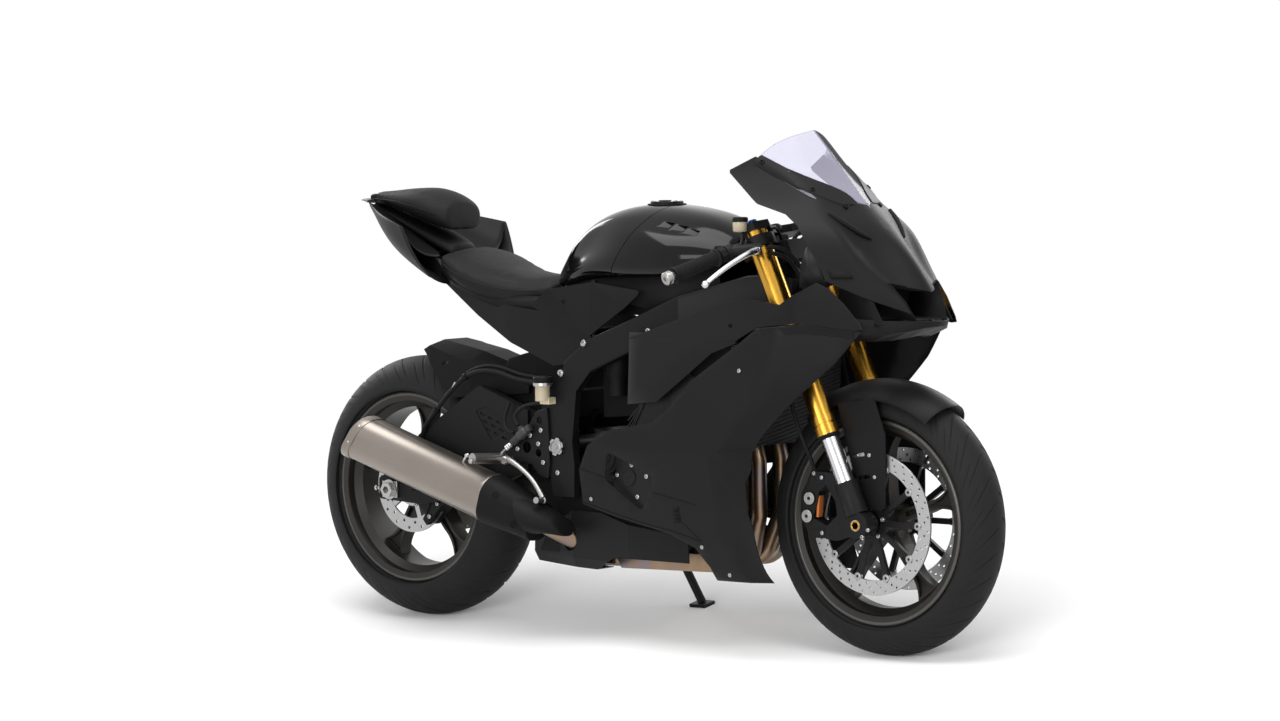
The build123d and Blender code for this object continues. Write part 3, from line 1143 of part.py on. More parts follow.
PIECES = {
    "front_tyre": front_tyre,
    "front_rim": front_rim,
    "front_discs": front_discs,
    "front_disc_carriers": front_disc_carriers,
    "rear_tyre": rear_tyre,
    "rear_rim": rear_rim,
    "rear_disc": rear_disc,
    "rear_sprocket": rear_sprocket,
    "fork_outer_tubes": fork_outer_tubes,
    "fork_inner_tubes": fork_inner_tubes,
    "fork_bottoms": fork_bottoms,
    "front_axle": front_axle,
    "triple_clamps": triple_clamps,
    "handlebars": handlebars,
    "grips": grips,
    "levers": levers,
    "front_fender": front_fender,
    "front_calipers": front_calipers,
    "brake_hoses": brake_hoses,
    "main_frame": main_frame,
    "subframe": subframe,
    "engine_block": engine_block,
    "engine_covers": engine_covers,
    "radiator": radiator,
    "exhaust_headers": exhaust_headers,
    "silencer": silencer,
    "silencer_cover": silencer_cover,
    "swingarm": swingarm,
    "pivot_bolt": pivot_bolt,
    "rear_axle": rear_axle,
    "rear_caliper": rear_caliper,
    "drive_chain": drive_chain,
    "front_sprocket": front_sprocket,
    "rear_shock": rear_shock,
    "rear_hugger": rear_hugger,
    "footrests": footrests,
    "brake_reservoir": brake_reservoir,
    "fuel_tank": fuel_tank,
    "airbox_cover": airbox_cover,
    "fuel_cap": fuel_cap,
    "tank_side_covers": tank_side_covers,
    "rider_seat": rider_seat,
    "rear_seat_pad": rear_seat_pad,
    "tail_cowl": tail_cowl,
    "nose_cowl": nose_cowl,
    "windscreen": windscreen,
    "chin_panel": chin_panel,
    "upper_panels": upper_panels,
    "side_panels": side_panels,
    "mid_panels": mid_panels,
    "belly_pan": belly_pan,
    "instrument_panel": instrument_panel,
    "fairing_stays": fairing_stays,
    "airbox": airbox,
    "side_stand": side_stand,
    "stand_bracket": stand_bracket,
}


def build():
    """Every node's solids, parked."""
    return {name: Compound([PARKED * solid for solid in make().solids()]) for name, make in PIECES.items()}


if __name__ == "__main__":
    os.makedirs("parts", exist_ok=True)
    for name, piece in build().items():
        export_step(piece, f"parts/{name}.step")
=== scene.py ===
"""Detailed look of the sport motorcycle, built round its frame.

Shapes are written in the machine's own upright frame, in millimetres: X forward, Y to the left and
Z up, from the ground half way between the axles. PARKED places them on the leaning machine.
"""

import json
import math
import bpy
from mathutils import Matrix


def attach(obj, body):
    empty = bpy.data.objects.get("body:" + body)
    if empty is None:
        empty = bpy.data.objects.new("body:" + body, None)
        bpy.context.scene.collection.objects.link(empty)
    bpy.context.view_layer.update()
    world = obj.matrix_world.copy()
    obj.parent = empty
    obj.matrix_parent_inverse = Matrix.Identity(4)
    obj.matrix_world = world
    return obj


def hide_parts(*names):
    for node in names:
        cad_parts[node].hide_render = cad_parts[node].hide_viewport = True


bl_info = {
    "name": "Sport Motorcycle",
    "version": (1, 0, 0),
    "blender": (4, 5, 0),
    "location": "3D View > Sidebar > Motorcycle",
    "description": "Bodywork, wheels, running gear and finishes of a parked sport motorcycle",
    "category": "Add Mesh",
}

import bpy
import bmesh
from mathutils import Matrix, Vector
from mathutils.bvhtree import BVHTree

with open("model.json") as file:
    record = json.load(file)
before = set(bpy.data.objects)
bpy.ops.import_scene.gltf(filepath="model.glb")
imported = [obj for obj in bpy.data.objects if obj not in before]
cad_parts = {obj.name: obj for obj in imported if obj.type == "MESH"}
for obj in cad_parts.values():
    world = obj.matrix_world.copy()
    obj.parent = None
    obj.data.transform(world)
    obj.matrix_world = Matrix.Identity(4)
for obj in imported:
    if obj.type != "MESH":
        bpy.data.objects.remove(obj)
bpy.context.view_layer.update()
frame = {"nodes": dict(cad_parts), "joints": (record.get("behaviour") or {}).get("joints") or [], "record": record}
NODES = frame["nodes"]
JOINTS = {joint["name"]: joint for joint in frame["joints"]}
SLOT_OF = {part["node"]: part["material_slot"] for part in frame["record"]["subparts"]}

# ---- sizes of the machine, upright, in millimetres ----
MM = 0.001
WHEELBASE = 1375.0
FRONT_RADIUS = 300.0
REAR_RADIUS = 315.0
RAKE = math.radians(24.0)
FORK_OFFSET = 33.4
FORK_SPREAD = 105.0
FRONT_AXLE = Vector((WHEELBASE / 2, 0, FRONT_RADIUS))
REAR_AXLE = Vector((-WHEELBASE / 2, 0, REAR_RADIUS))
STEER_UP = Vector((-math.sin(RAKE), 0, math.cos(RAKE)))
STEER_AHEAD = Vector((math.cos(RAKE), 0, math.sin(RAKE)))
PIVOT = Vector((-148.0, 0, 441.0))
STEER_FOOT = FRONT_AXLE - FORK_OFFSET * STEER_AHEAD
DISC_Y = 64.5
FRONT_HALF_WIDTH, REAR_HALF_WIDTH = 60.0, 90.0
# half of the width between the rims' bead seats
FRONT_SEAT, REAR_SEAT = 44.5, 69.9
CHAIN_Y = 105.0
GEARBOX_SHAFT = Vector((-62.0, 0, 432.0))
RIGHT, LEFT, UP = (0, -1, 0), (0, 1, 0), (0, 0, 1)
SILENCER_START, SILENCER_END = Vector((-306, -205, 316)), Vector((-717, -205, 443))
MOUTH_WAY = (SILENCER_END - SILENCER_START).normalized()
# from the silencer's start to the rim of its mouth
MOUTH_REACH = 424
# half the width of a prism that cuts right through the machine
CUT_REACH = 300
# heights along the fork: seals, bars, top clamp, top of the tubes
SEAL_Z, BAR_Z, CLAMP_Z, FORK_TOP_Z = 495, 905, 936, 955.5
# folds steeper than this, in degrees, are rounded on pieces and on the frame's own nodes
PIECE_FOLD, NODE_FOLD = 40, 42


def parked_placement():
    """Matrix from the upright machine in millimetres to the leaning one in metres, from its axles."""
    front = Vector(JOINTS["front_wheel_spin"]["pos_m"])
    rear = Vector(JOINTS["rear_wheel_spin"]["pos_m"])
    across = Vector(JOINTS["rear_wheel_spin"]["axis"]).normalized()
    fall = math.atan2(REAR_RADIUS - FRONT_RADIUS, WHEELBASE)
    ahead = Matrix.Rotation(-fall, 3, across) @ (front - rear).normalized()
    up = ahead.cross(across).normalized()
    origin = rear - MM * (REAR_AXLE.x * ahead + REAR_AXLE.z * up)
    turn = Matrix((ahead, across, up)).transposed().to_4x4()
    return Matrix.Translation(origin) @ turn @ Matrix.Scale(MM, 4)


PARKED = parked_placement()


# ---- shader maths ----
class Value:
    """A shader socket that turns Python sums into Math nodes."""

    def __init__(self, finish, socket):
        self.finish = finish
        self.socket = socket

    def math(self, operation, *others):
        inputs = {0: self}
        inputs.update({index + 1: other for index, other in enumerate(others)})
        return self.finish.node("ShaderNodeMath", {"operation": operation}, inputs)

    def __add__(self, other):
        return self.math("ADD", other)

    def __sub__(self, other):
        return self.math("SUBTRACT", other)

    def __mul__(self, other):
        return self.math("MULTIPLY", other)

    def __rsub__(self, other):
        return self.finish.node("ShaderNodeMath", {"operation": "SUBTRACT"}, {0: other, 1: self})

    __radd__ = __add__
    __rmul__ = __mul__


class Finish:
    """A material under construction."""

    def __init__(self, name, tree=None):
        if tree is None:
            self.material = bpy.data.materials.new(name)
            self.material.use_nodes = True
            tree = self.material.node_tree
        self.tree = tree
        self.tree.nodes.clear()

    def node(self, kind, settings=None, inputs=None, output=0):
        """Adds a node, sets it up, then feeds its sockets with numbers, colours or other values."""
        node = self.tree.nodes.new(kind)
        for key, setting in (settings or {}).items():
            if key == "stops":
                self.set_stops(node.color_ramp, setting)
            else:
                setattr(node, key, setting)
        for key, fed in (inputs or {}).items():
            if isinstance(fed, Value):
                self.tree.links.new(fed.socket, node.inputs[key])
            else:
                node.inputs[key].default_value = fed
        return Value(self, node.outputs[output]) if node.outputs else node

    @staticmethod
    def set_stops(ramp, stops):
        while len(ramp.elements) < len(stops):
            ramp.elements.new(0.5)
        for element, (place, colour) in zip(ramp.elements, stops):
            element.position = place
            element.color = (*colour, 1) if len(colour) == 3 else colour

    def place(self, scale=(1, 1, 1)):
        """Position on the piece, in metres, stretched by scale."""
        at = self.node("ShaderNodeTexCoord", output="Object")
        return self.node("ShaderNodeMapping", None, {"Vector": at, "Scale": scale})

    def noise(self, scale, detail=3.0, stretch=(1, 1, 1), roughness=0.5):
        inputs = {"Vector": self.place(stretch), "Scale": scale, "Detail": detail, "Roughness": roughness}
        return self.node("ShaderNodeTexNoise", None, inputs)

    def cells(self, scale):
        return self.node("ShaderNodeTexVoronoi", None, {"Vector": self.place(), "Scale": scale})

    def ramp(self, value, stops):
        return self.node("ShaderNodeValToRGB", {"stops": stops}, {"Fac": value})

    def between(self, share, low, high):
        """Number that goes from low to high as share goes from 0 to 1."""
        return share * (high - low) + low

    def blend(self, share, first, second):
        inputs = {"Factor": share, 6: first, 7: second}
        return self.node("ShaderNodeMix", {"data_type": "RGBA"}, inputs, output=2)

    def bump(self, height, strength, distance=0.001):
        inputs = {"Height": height, "Strength": strength, "Distance": distance}
        return self.node("ShaderNodeBump", None, inputs)

    def edges(self):
        """Share of painted highlight: 1 on sharp outer edges, 0 elsewhere."""
        point = self.node("ShaderNodeNewGeometry", output="Pointiness")
        return self.ramp(point, [(0.52, (0, 0, 0)), (0.62, (1, 1, 1))])

    def done(self, inputs):
        shader = self.node("ShaderNodeBsdfPrincipled", None, inputs)
        self.node("ShaderNodeOutputMaterial", None, {"Surface": shader})
        return self.material


def rgb(red, green, blue):
    return (red, green, blue, 1.0)


def tone(colour, share):
    """The colour made lighter or darker by a share."""
    return (*(min(1.0, part * share) for part in colour[:3]), 1.0)


def paint(name, colour, roughness, grain, depth, coat=0.0, specular=0.5, metal=0.0):
    """Painted, moulded or cast surface with a fine grain, faint mottling and a painted highlight on its sharp
    edges.
    """
    f = Finish(name)
    cloud = f.noise(9.0, 4.0)
    speck = f.noise(grain, 2.0)
    base = f.blend(cloud, tone(colour, 0.88), tone(colour, 1.12))
    # painted highlight: sharp outer edges turned lighter
    base = f.blend(f.edges() * 0.35, base, tone(colour, 2.2))
    rough = f.between(cloud, roughness * 0.9, min(1.0, roughness * 1.12)) + (speck - 0.5) * 0.06
    return f.done({
        "Base Color": base, "Roughness": rough, "Metallic": metal, "Specular IOR Level": specular,
        "Coat Weight": coat, "Coat Roughness": 0.03, "Normal": f.bump(speck, depth, 0.0004),
    })


def brushed(name, colour, roughness, stretch=(1, 1, 60), scale=30.0, tint=None, depth=0.12):
    """Metal with fine lines along one direction, and an uneven tint."""
    f = Finish(name)
    lines = f.noise(scale, 6.0, stretch, 0.7)
    cloud = f.noise(7.0, 3.0)
    base = f.blend(cloud, tone(colour, 0.88), tint or tone(colour, 1.1))
    base = f.blend(lines, tone(colour, 0.8), base)
    rough = f.between(lines, roughness * 0.75, roughness * 1.3)
    return f.done({
        "Base Color": base, "Metallic": 1.0, "Roughness": rough, "Normal": f.bump(lines, depth, 0.0002),
    })


def rubber(name, colour, roughness, scale=520.0, depth=0.25):
    """Rubber with a fine texture and dusty variation."""
    f = Finish(name)
    grain = f.noise(scale, 5.0, (1, 1, 1), 0.65)
    dust = f.noise(14.0, 5.0, (1, 1, 1), 0.6)
    base = f.blend(dust, tone(colour, 0.75), tone(colour, 1.35))
    rough = f.between(dust, roughness * 0.88, min(1.0, roughness * 1.15))
    return f.done({
        "Base Color": base, "Roughness": rough, "Specular IOR Level": 0.14,
        "Normal": f.bump(grain, depth, 0.0005),
    })


def hide(name, colour, roughness):
    """Coated seat cloth: pebbled grain with small folds."""
    f = Finish(name)
    pebble = f.cells(620.0)
    fold = f.noise(60.0, 4.0)
    base = f.blend(pebble, tone(colour, 1.25), tone(colour, 0.7))
    rough = f.between(fold, roughness - 0.08, roughness + 0.08)
    height = pebble * 0.7 + fold * 0.3
    return f.done({
        "Base Color": base, "Roughness": rough, "Specular IOR Level": 0.16,
        "Normal": f.bump(height, 0.35, 0.0006),
    })


def clear_screen(name, colour):
    """Tinted clear sheet with faint haze, darker where it turns away."""
    f = Finish(name)
    haze = f.noise(18.0, 4.0)
    rough = f.between(haze, 0.02, 0.09)
    rim = f.node("ShaderNodeLayerWeight", None, {"Blend": 0.35}, output="Facing")
    tint = f.ramp(rim, [(0.3, colour[:3]), (0.66, (0.05, 0.05, 0.06))])
    glass = f.node("ShaderNodeBsdfPrincipled", None, {
        "Base Color": tint, "Roughness": rough, "Specular IOR Level": 0.2,
        "Normal": f.bump(haze, 0.02, 0.001),
    })
    through = f.node("ShaderNodeBsdfTransparent", None, {"Color": (0.9, 0.9, 0.95, 1)})
    share = f.between(rim, 0.12, 0.85)
    mixed = f.node("ShaderNodeMixShader", None, {0: share, 1: through, 2: glass})
    shade = f.node("ShaderNodeBsdfDiffuse", None, {"Color": (0.03, 0.03, 0.034, 1)})
    band = f.ramp(rim, [(0.58, (0, 0, 0)), (0.74, (0.85, 0.85, 0.85))])
    turned_away = f.node("ShaderNodeMixShader", None, {0: band, 1: mixed, 2: shade})
    f.node("ShaderNodeOutputMaterial", None, {"Surface": turned_away})
    return f.material


def heated(name, cool, warm):
    """Exhaust metal with bands of heat colour and fine lines."""
    f = Finish(name)
    heat = f.noise(11.0, 3.0, (1, 1, 0.5))
    lines = f.noise(60.0, 6.0, (1, 30, 1), 0.7)
    base = f.ramp(heat, [(0.3, cool[:3]), (0.48, warm[:3]), (0.62, (0.23, 0.2, 0.22)), (0.78, cool[:3])])
    rough = f.between(lines, 0.24, 0.42)
    return f.done({
        "Base Color": base, "Metallic": 1.0, "Roughness": rough, "Normal": f.bump(lines, 0.1, 0.0002),
    })


def core_fins(name, colour):
    """Radiator core: rows of tubes with folded fins between them."""
    f = Finish(name)
    rows = f.node("ShaderNodeTexWave", {"wave_type": "BANDS", "bands_direction": "Z"},
                  {"Vector": f.place(), "Scale": 36.0, "Distortion": 0.4})
    fins = f.node("ShaderNodeTexWave", {"wave_type": "BANDS", "bands_direction": "Y"},
                  {"Vector": f.place(), "Scale": 120.0, "Distortion": 1.0})
    height = rows * 0.7 + fins * 0.3
    # pattern of tubes and fins, with painted shade in the hollows between them and a painted highlight on their
    # crests
    base = f.blend(height, tone(colour, 0.25), tone(colour, 2.2))
    return f.done({"Base Color": base, "Metallic": 0.6, "Roughness": f.between(fins, 0.35, 0.6),
                   "Normal": f.bump(height, 0.8, 0.002)})


# maker of each finish, its colour and what else the maker is told
FINISHES = {
    "tyre_rubber": (rubber, (0.0125, 0.0125, 0.013), 0.6),
    "wheel_paint": (paint, (0.026, 0.0245, 0.022), 0.4, 1400, 0.03, 0.0, 0.3, 0.5),
    "disc_steel": (brushed, (0.5, 0.5, 0.5), 0.34, (1, 1, 1), 220.0),
    "carrier_black": (paint, (0.006, 0.006, 0.0065), 0.4, 1500, 0.02, 0, 0.2),
    "fork_gold": (brushed, (0.62, 0.33, 0.045), 0.24, (1, 1, 8), 60.0, rgb(0.72, 0.4, 0.07), 0.05),
    "fork_chrome": (brushed, (0.72, 0.72, 0.74), 0.12, (1, 1, 20), 70.0, None, 0.02),
    "cast_black": (paint, (0.0065, 0.0065, 0.007), 0.46, 800, 0.08, 0, 0.16),
    "axle_steel": (brushed, (0.5, 0.49, 0.47), 0.3, (1, 1, 1), 180.0),
    "frame_black": (paint, (0.0055, 0.0055, 0.006), 0.42, 1000, 0.06, 0.0, 0.16),
    "engine_metal": (paint, (0.011, 0.011, 0.0115), 0.48, 500, 0.12, 0, 0.2, 0.15),
    "fairing_matte": (paint, (0.0075, 0.0075, 0.0082), 0.44, 1600, 0.02, 0.0, 0.13),
    "fairing_gloss": (paint, (0.002, 0.002, 0.0023), 0.14, 1600, 0.003, 0.0, 0.22),
    "tank_gloss": (paint, (0.0018, 0.0018, 0.002), 0.1, 1600, 0.002, 0.0, 0.24),
    "trim_black": (paint, (0.0045, 0.0045, 0.0048), 0.55, 700, 0.1, 0.0, 0.13),
    "seat_cover": (hide, (0.0085, 0.0085, 0.009), 0.6),
    "grip_rubber": (rubber, (0.008, 0.008, 0.0085), 0.62, 900.0, 0.15),
    "lever_alloy": (brushed, (0.66, 0.66, 0.67), 0.22, (1, 20, 1), 60.0, None, 0.05),
    "exhaust_titanium": (brushed, (0.3, 0.265, 0.235), 0.36, (2, 40, 40), 24.0, rgb(0.36, 0.325, 0.29), 0.06),
    "header_steel": (heated, (0.3, 0.27, 0.24), rgb(0.3, 0.2, 0.12)),
    "radiator_core": (core_fins, (0.02, 0.02, 0.021)),
    "screen_clear": (clear_screen, (0.62, 0.6, 0.72)),
    "chain_steel": (brushed, (0.16, 0.15, 0.135), 0.42, (1, 1, 1), 300.0),
    "alloy_silver": (brushed, (0.42, 0.41, 0.4), 0.36, (1, 1, 1), 260.0),
    "reservoir_amber": (paint, (0.42, 0.36, 0.25), 0.3, 600, 0.02, 0.3),
    "bolt_steel": (brushed, (0.5, 0.5, 0.5), 0.28, (1, 1, 1), 400.0),
    # painted highlight: light grey for the rims' edges and the tail's tip
    "rim_edge": (paint, (0.085, 0.082, 0.076), 0.34, 1400, 0.03, 0.0, 0.3, 0.6),
    "pad_copper": (paint, (0.45, 0.13, 0.03), 0.42, 700, 0.08, 0, 0.4),
    "fork_blue": (paint, (0.03, 0.09, 0.3), 0.28, 900, 0.02, 0, 0.5, 0.8),
    "switch_red": (paint, (0.4, 0.02, 0.02), 0.4, 900, 0.04, 0, 0.4),
    "engine_grey": (paint, (0.05, 0.05, 0.052), 0.42, 700, 0.1, 0, 0.3, 0.5),
    # painted shade: near-black rough finish for sheets and blocks put where gaps look into shade
    "gap_black": (paint, (0.004, 0.004, 0.004), 0.8, 900, 0.02, 0, 0.2),
    "display_dark": (paint, (0.03, 0.035, 0.032), 0.12, 900, 0.01, 0.3, 0.5),
}
# materials made so far, by the name of their finish
_made = {}


def finish(name):
    """The material of that name, made once."""
    if name not in _made:
        maker, colour, *told = FINISHES[name]
        _made[name] = maker(name, rgb(*colour), *told)
    return _made[name]


# ---- shapes: each is (points, faces), in upright millimetres ----
def joined(*shapes):
    points, faces = [], []
    for shape_points, shape_faces in shapes:
        start = len(points)
        points += shape_points
        faces += [[start + corner for corner in face] for face in shape_faces]
    return points, faces


def moved(shape, matrix):
    points, faces = shape
    return [matrix @ Vector(point) for point in points], faces


def mirrored(shape):
    """The shape on the other side of the middle plane."""
    points, faces = shape
    return [Vector((point[0], -point[1], point[2])) for point in points], [face[::-1] for face in faces]


def both(shape):
    return joined(shape, mirrored(shape))


def hoop(half, middle=()):
    """Points of the right side, those on the middle plane, then the left side's on the way back."""
    return [*half, *middle, *((x, -y, z) for x, y, z in reversed(half))]


def facing(at, toward):
    """Matrix that puts a shape's Z along toward, at a point."""
    return Matrix.Translation(Vector(at)) @ Vector(toward).to_track_quat("Z", "Y").to_matrix().to_4x4()


def grid(rows, round_rows=False, round_columns=False):
    """Surface through rows of points."""
    width = len(rows[0])
    points = [Vector(point) for row in rows for point in row]
    faces = []
    for row in range(len(rows) - (0 if round_rows else 1)):
        following = (row + 1) % len(rows)
        for column in range(width - (0 if round_columns else 1)):
            beside = (column + 1) % width
            faces.append([row * width + column, row * width + beside, following * width + beside,
                          following * width + column])
    return points, faces


def lathe(profile, steps):
    """Profile of (radius, y) turned about Y."""
    rows = [[(radius * c, y, radius * s) for radius, y in profile] for c, s in circle(1, steps=steps)]
    return grid(rows, round_rows=True)


def turned(profile, at, toward, steps=16):
    """Profile of (radius, height) turned about the line through at."""
    return moved(lathe(profile, steps), facing(at, toward) @ Matrix.Rotation(math.radians(90), 4, "X"))


def capped_loft(rings):
    """Closed rings joined in order, with both ends closed."""
    points, faces = grid(rings, round_columns=True)
    width = len(rings[0])
    last = len(points) - width
    faces.append(list(range(width))[::-1])
    faces.append([last + corner for corner in range(width)])
    return points, faces


def prism(outline, y_low, y_high):
    """Plate cut to an x, z outline."""
    return capped_loft([[(x, y, z) for x, z in outline] for y in (y_low, y_high)])


def slab(outline, z_low, z_high):
    """Plate cut to an x, y outline."""
    return capped_loft([[(x, y, z) for x, y in outline] for z in (z_low, z_high)])


def block(half_x, half_y, z_low, z_high):
    """Box centred on Z."""
    return slab([(-half_x, -half_y), (half_x, -half_y), (half_x, half_y), (-half_x, half_y)], z_low, z_high)


def circle(radius, at=(0, 0), steps=16, start=0.0):
    return [(at[0] + radius * math.cos(start + 2 * math.pi * step / steps),
             at[1] + radius * math.sin(start + 2 * math.pi * step / steps)) for step in range(steps)]


def circle_at(centre, radius, steps=16):
    """Level ring of points."""
    return [(x, y, centre[2]) for x, y in circle(radius, centre[:2], steps)]


def plate(outlines, y, thickness, bevel=0.4):
    """Flat plate at y whose first outline is its edge and whose others are holes."""
    curve = bpy.data.curves.new("plate", "CURVE")
    curve.dimensions, curve.fill_mode = "2D", "BOTH"
    curve.extrude, curve.bevel_depth = thickness / 2 - bevel, bevel
    curve.bevel_resolution, curve.offset = 0, -bevel
    for outline in outlines:
        spline = curve.splines.new("POLY")
        spline.points.add(len(outline) - 1)
        for point, (x, z) in zip(spline.points, outline):
            point.co = (x, z, 0, 1)
        spline.use_cyclic_u = True
    holder = bpy.data.objects.new("plate", curve)
    bpy.context.scene.collection.objects.link(holder)
    mesh = bpy.data.meshes.new_from_object(holder.evaluated_get(bpy.context.evaluated_depsgraph_get()))
    shape = ([Vector((v.co.x, y - v.co.z, v.co.y)) for v in mesh.vertices],
             [list(polygon.vertices) for polygon in mesh.polygons])
    bpy.data.objects.remove(holder)
    bpy.data.curves.remove(curve)
    bpy.data.meshes.remove(mesh)
    return shape


def smooth_line(points, per_span):
    """Points of a Catmull-Rom curve through the given points."""
    points = [Vector(point) for point in points]
    last = len(points) - 1
    line = []
    for span in range(last):
        a, b, c, d = [points[min(max(span + shift, 0), last)] for shift in (-1, 0, 1, 2)]
        for step in range(per_span):
            t = step / per_span
            line.append(0.5 * (2 * b + (c - a) * t + (2 * a - 5 * b + 4 * c - d) * t * t
                               + (3 * b - a - 3 * c + d) * t ** 3))
    return [*line, points[-1]]


def tube(points, radius, sides, per_span):
    """Round tube along a smooth line; radius may be a number or one number per given point."""
    line = smooth_line(points, per_span)
    sizes = radius if isinstance(radius, (list, tuple)) else [radius] * len(points)
    rings = []
    side = Vector((0, 1, 0))
    for index, at in enumerate(line):
        along = (line[min(index + 1, len(line) - 1)] - line[max(index - 1, 0)]).normalized()
        side = (side - along * side.dot(along)).normalized()
        over = along.cross(side)
        place = index / per_span
        first = min(int(place), len(sizes) - 1)
        second = min(first + 1, len(sizes) - 1)
        size = sizes[first] + (sizes[second] - sizes[first]) * (place - int(place))
        rings.append([at + c * side + s * over for c, s in circle(size, steps=sides)])
    return capped_loft(rings)


def bolt(at, toward, radius, height):
    """Button head with a hexagonal socket."""
    steps = 20
    socket = radius * 0.5
    head = turned([(radius, -0.5), (radius, height * 0.45), (radius * 0.9, height * 0.85),
                   (radius * 0.72, height), (socket * 1.12, height)], at, toward, steps)
    recess = turned([(socket * 1.12, height), (socket, height - 0.3), (socket, height * 0.35),
                     (0.01, height * 0.35)], at, toward, 6)
    fill = turned([(socket * 1.13, height - 0.02), (socket * 0.98, height - 0.02)], at, toward, steps)
    return joined(head, recess, fill)


def hex_nut(at, toward, radius, height, bore):
    """Nut with a chamfered rim and a washer under it."""
    washer = turned([(bore, 0), (radius * 1.25, 0), (radius * 1.25, height * 0.18), (radius, height * 0.18)],
                    at, toward, 32)
    body = turned([(radius, height * 0.15), (radius, height * 0.92), (radius * 0.92, height),
                   (bore, height), (bore, height * 0.1)], at, toward, 6)
    return joined(washer, body)


def filled(mesh, shape, matrix=Matrix()):
    """Fills a mesh with a shape, its doubled points merged and its faces turned outward."""
    points, faces = shape
    work = bmesh.new()
    corners = [work.verts.new(matrix @ Vector(point)) for point in points]
    for face in faces:
        around = [corners[index] for index in face]
        try:
            work.faces.new(around)
        except ValueError:
            continue
    bmesh.ops.remove_doubles(work, verts=work.verts, dist=0.01 * matrix.median_scale)
    bmesh.ops.dissolve_degenerate(work, edges=work.edges, dist=0.001 * matrix.median_scale)
    bmesh.ops.recalc_face_normals(work, faces=work.faces)
    work.to_mesh(mesh)
    work.free()


def shape_of(mesh):
    points = [vertex.co.copy() for vertex in mesh.vertices]
    return points, [list(polygon.vertices) for polygon in mesh.polygons]


def worked(shape, prepare):
    """The shape after the modifiers that prepare adds."""
    mesh = bpy.data.meshes.new("work")
    filled(mesh, shape)
    thing = bpy.data.objects.new("work", mesh)
    bpy.context.scene.collection.objects.link(thing)
    prepare(thing)
    result = bpy.data.meshes.new_from_object(thing.evaluated_get(bpy.context.evaluated_depsgraph_get()))
    made = shape_of(result)
    bpy.data.objects.remove(thing)
    for used in (mesh, result):
        bpy.data.meshes.remove(used)
    return made


def smoothed(shape, levels, wall=0.0):
    """The shape rounded by subdivision, and given a wall if one is asked for."""
    def prepare(thing):
        rounding = thing.modifiers.new("round", "SUBSURF")
        rounding.levels = rounding.render_levels = levels
        if wall:
            skin = thing.modifiers.new("skin", "SOLIDIFY")
            skin.thickness, skin.offset = wall, -1
    return worked(shape, prepare)


def cut(shape, tool, operation="DIFFERENCE"):
    """The shape with a closed tool cut out of it, or only what the tool covers."""
    mesh = bpy.data.meshes.new("tool")
    filled(mesh, tool)
    cutter = bpy.data.objects.new("tool", mesh)
    bpy.context.scene.collection.objects.link(cutter)

    def prepare(thing):
        taken = thing.modifiers.new("cut", "BOOLEAN")
        taken.operation, taken.solver, taken.object = operation, "EXACT", cutter
    made = worked(shape, prepare)
    bpy.data.objects.remove(cutter)
    bpy.data.meshes.remove(mesh)
    return made


def halved(shape, point, toward):
    """The part of a closed shape on the near side of a plane, closed again."""
    mesh = bpy.data.meshes.new("half")
    filled(mesh, shape)
    work = bmesh.new()
    work.from_mesh(mesh)
    everything = work.verts[:] + work.edges[:] + work.faces[:]
    done = bmesh.ops.bisect_plane(work, geom=everything, plane_co=point, plane_no=toward, clear_outer=True)
    edges = [item for item in done["geom_cut"] if isinstance(item, bmesh.types.BMEdge)]
    bmesh.ops.holes_fill(work, edges=edges)
    work.to_mesh(mesh)
    work.free()
    made = shape_of(mesh)
    bpy.data.meshes.remove(mesh)
    return made


# ---- places on the frame's pieces ----
UPRIGHT = PARKED.inverted()
_trees = {}


def surface(node, at, toward):
    """Where a line from a point meets a piece of the frame, and the outward direction there."""
    if node not in _trees:
        mesh = NODES[node].data
        _trees[node] = BVHTree.FromPolygons([vertex.co for vertex in mesh.vertices],
                                            [list(polygon.vertices) for polygon in mesh.polygons])
    way = (PARKED.to_3x3() @ Vector(toward)).normalized()
    hit, normal, _, _ = _trees[node].ray_cast(PARKED @ Vector(at), way)
    if hit is None:
        raise ValueError(f"no surface of {node} from {tuple(at)}")
    outward = (UPRIGHT.to_3x3() @ normal).normalized()
    return UPRIGHT @ hit, outward if outward.dot(Vector(toward)) < 0 else -outward


def on_right(node, x, z):
    """Place on the right side of a frame piece at x and z, and the outward direction there."""
    return surface(node, (x, -420, z), LEFT)


def laid(node, first, second, toward, lift, steps):
    """Patch between two lines, laid on a frame piece along a direction and lifted off it."""
    rows = []
    for share in (step / steps for step in range(steps + 1)):
        row = []
        for near, far in zip(smooth_line(first, 5), smooth_line(second, 5)):
            at = near.lerp(far, share)
            hit, normal = surface(node, at - Vector(toward).normalized() * 1200, toward)
            row.append(hit + normal * lift)
        rows.append(row)
    return grid(rows)


def upright_box(node):
    """Lowest and highest corners of a frame piece in the upright frame."""
    points = [UPRIGHT @ vertex.co for vertex in NODES[node].data.vertices]
    return (Vector([min(point[axis] for point in points) for axis in range(3)]),
            Vector([max(point[axis] for point in points) for axis in range(3)]))


def apply_modifiers(context, thing):
    """Keeps what a piece's modifiers make, and drops them."""
    made = bpy.data.meshes.new_from_object(thing.evaluated_get(context.evaluated_depsgraph_get()))
    old = thing.data
    thing.modifiers.clear()
    thing.data = made
    bpy.data.meshes.remove(old)


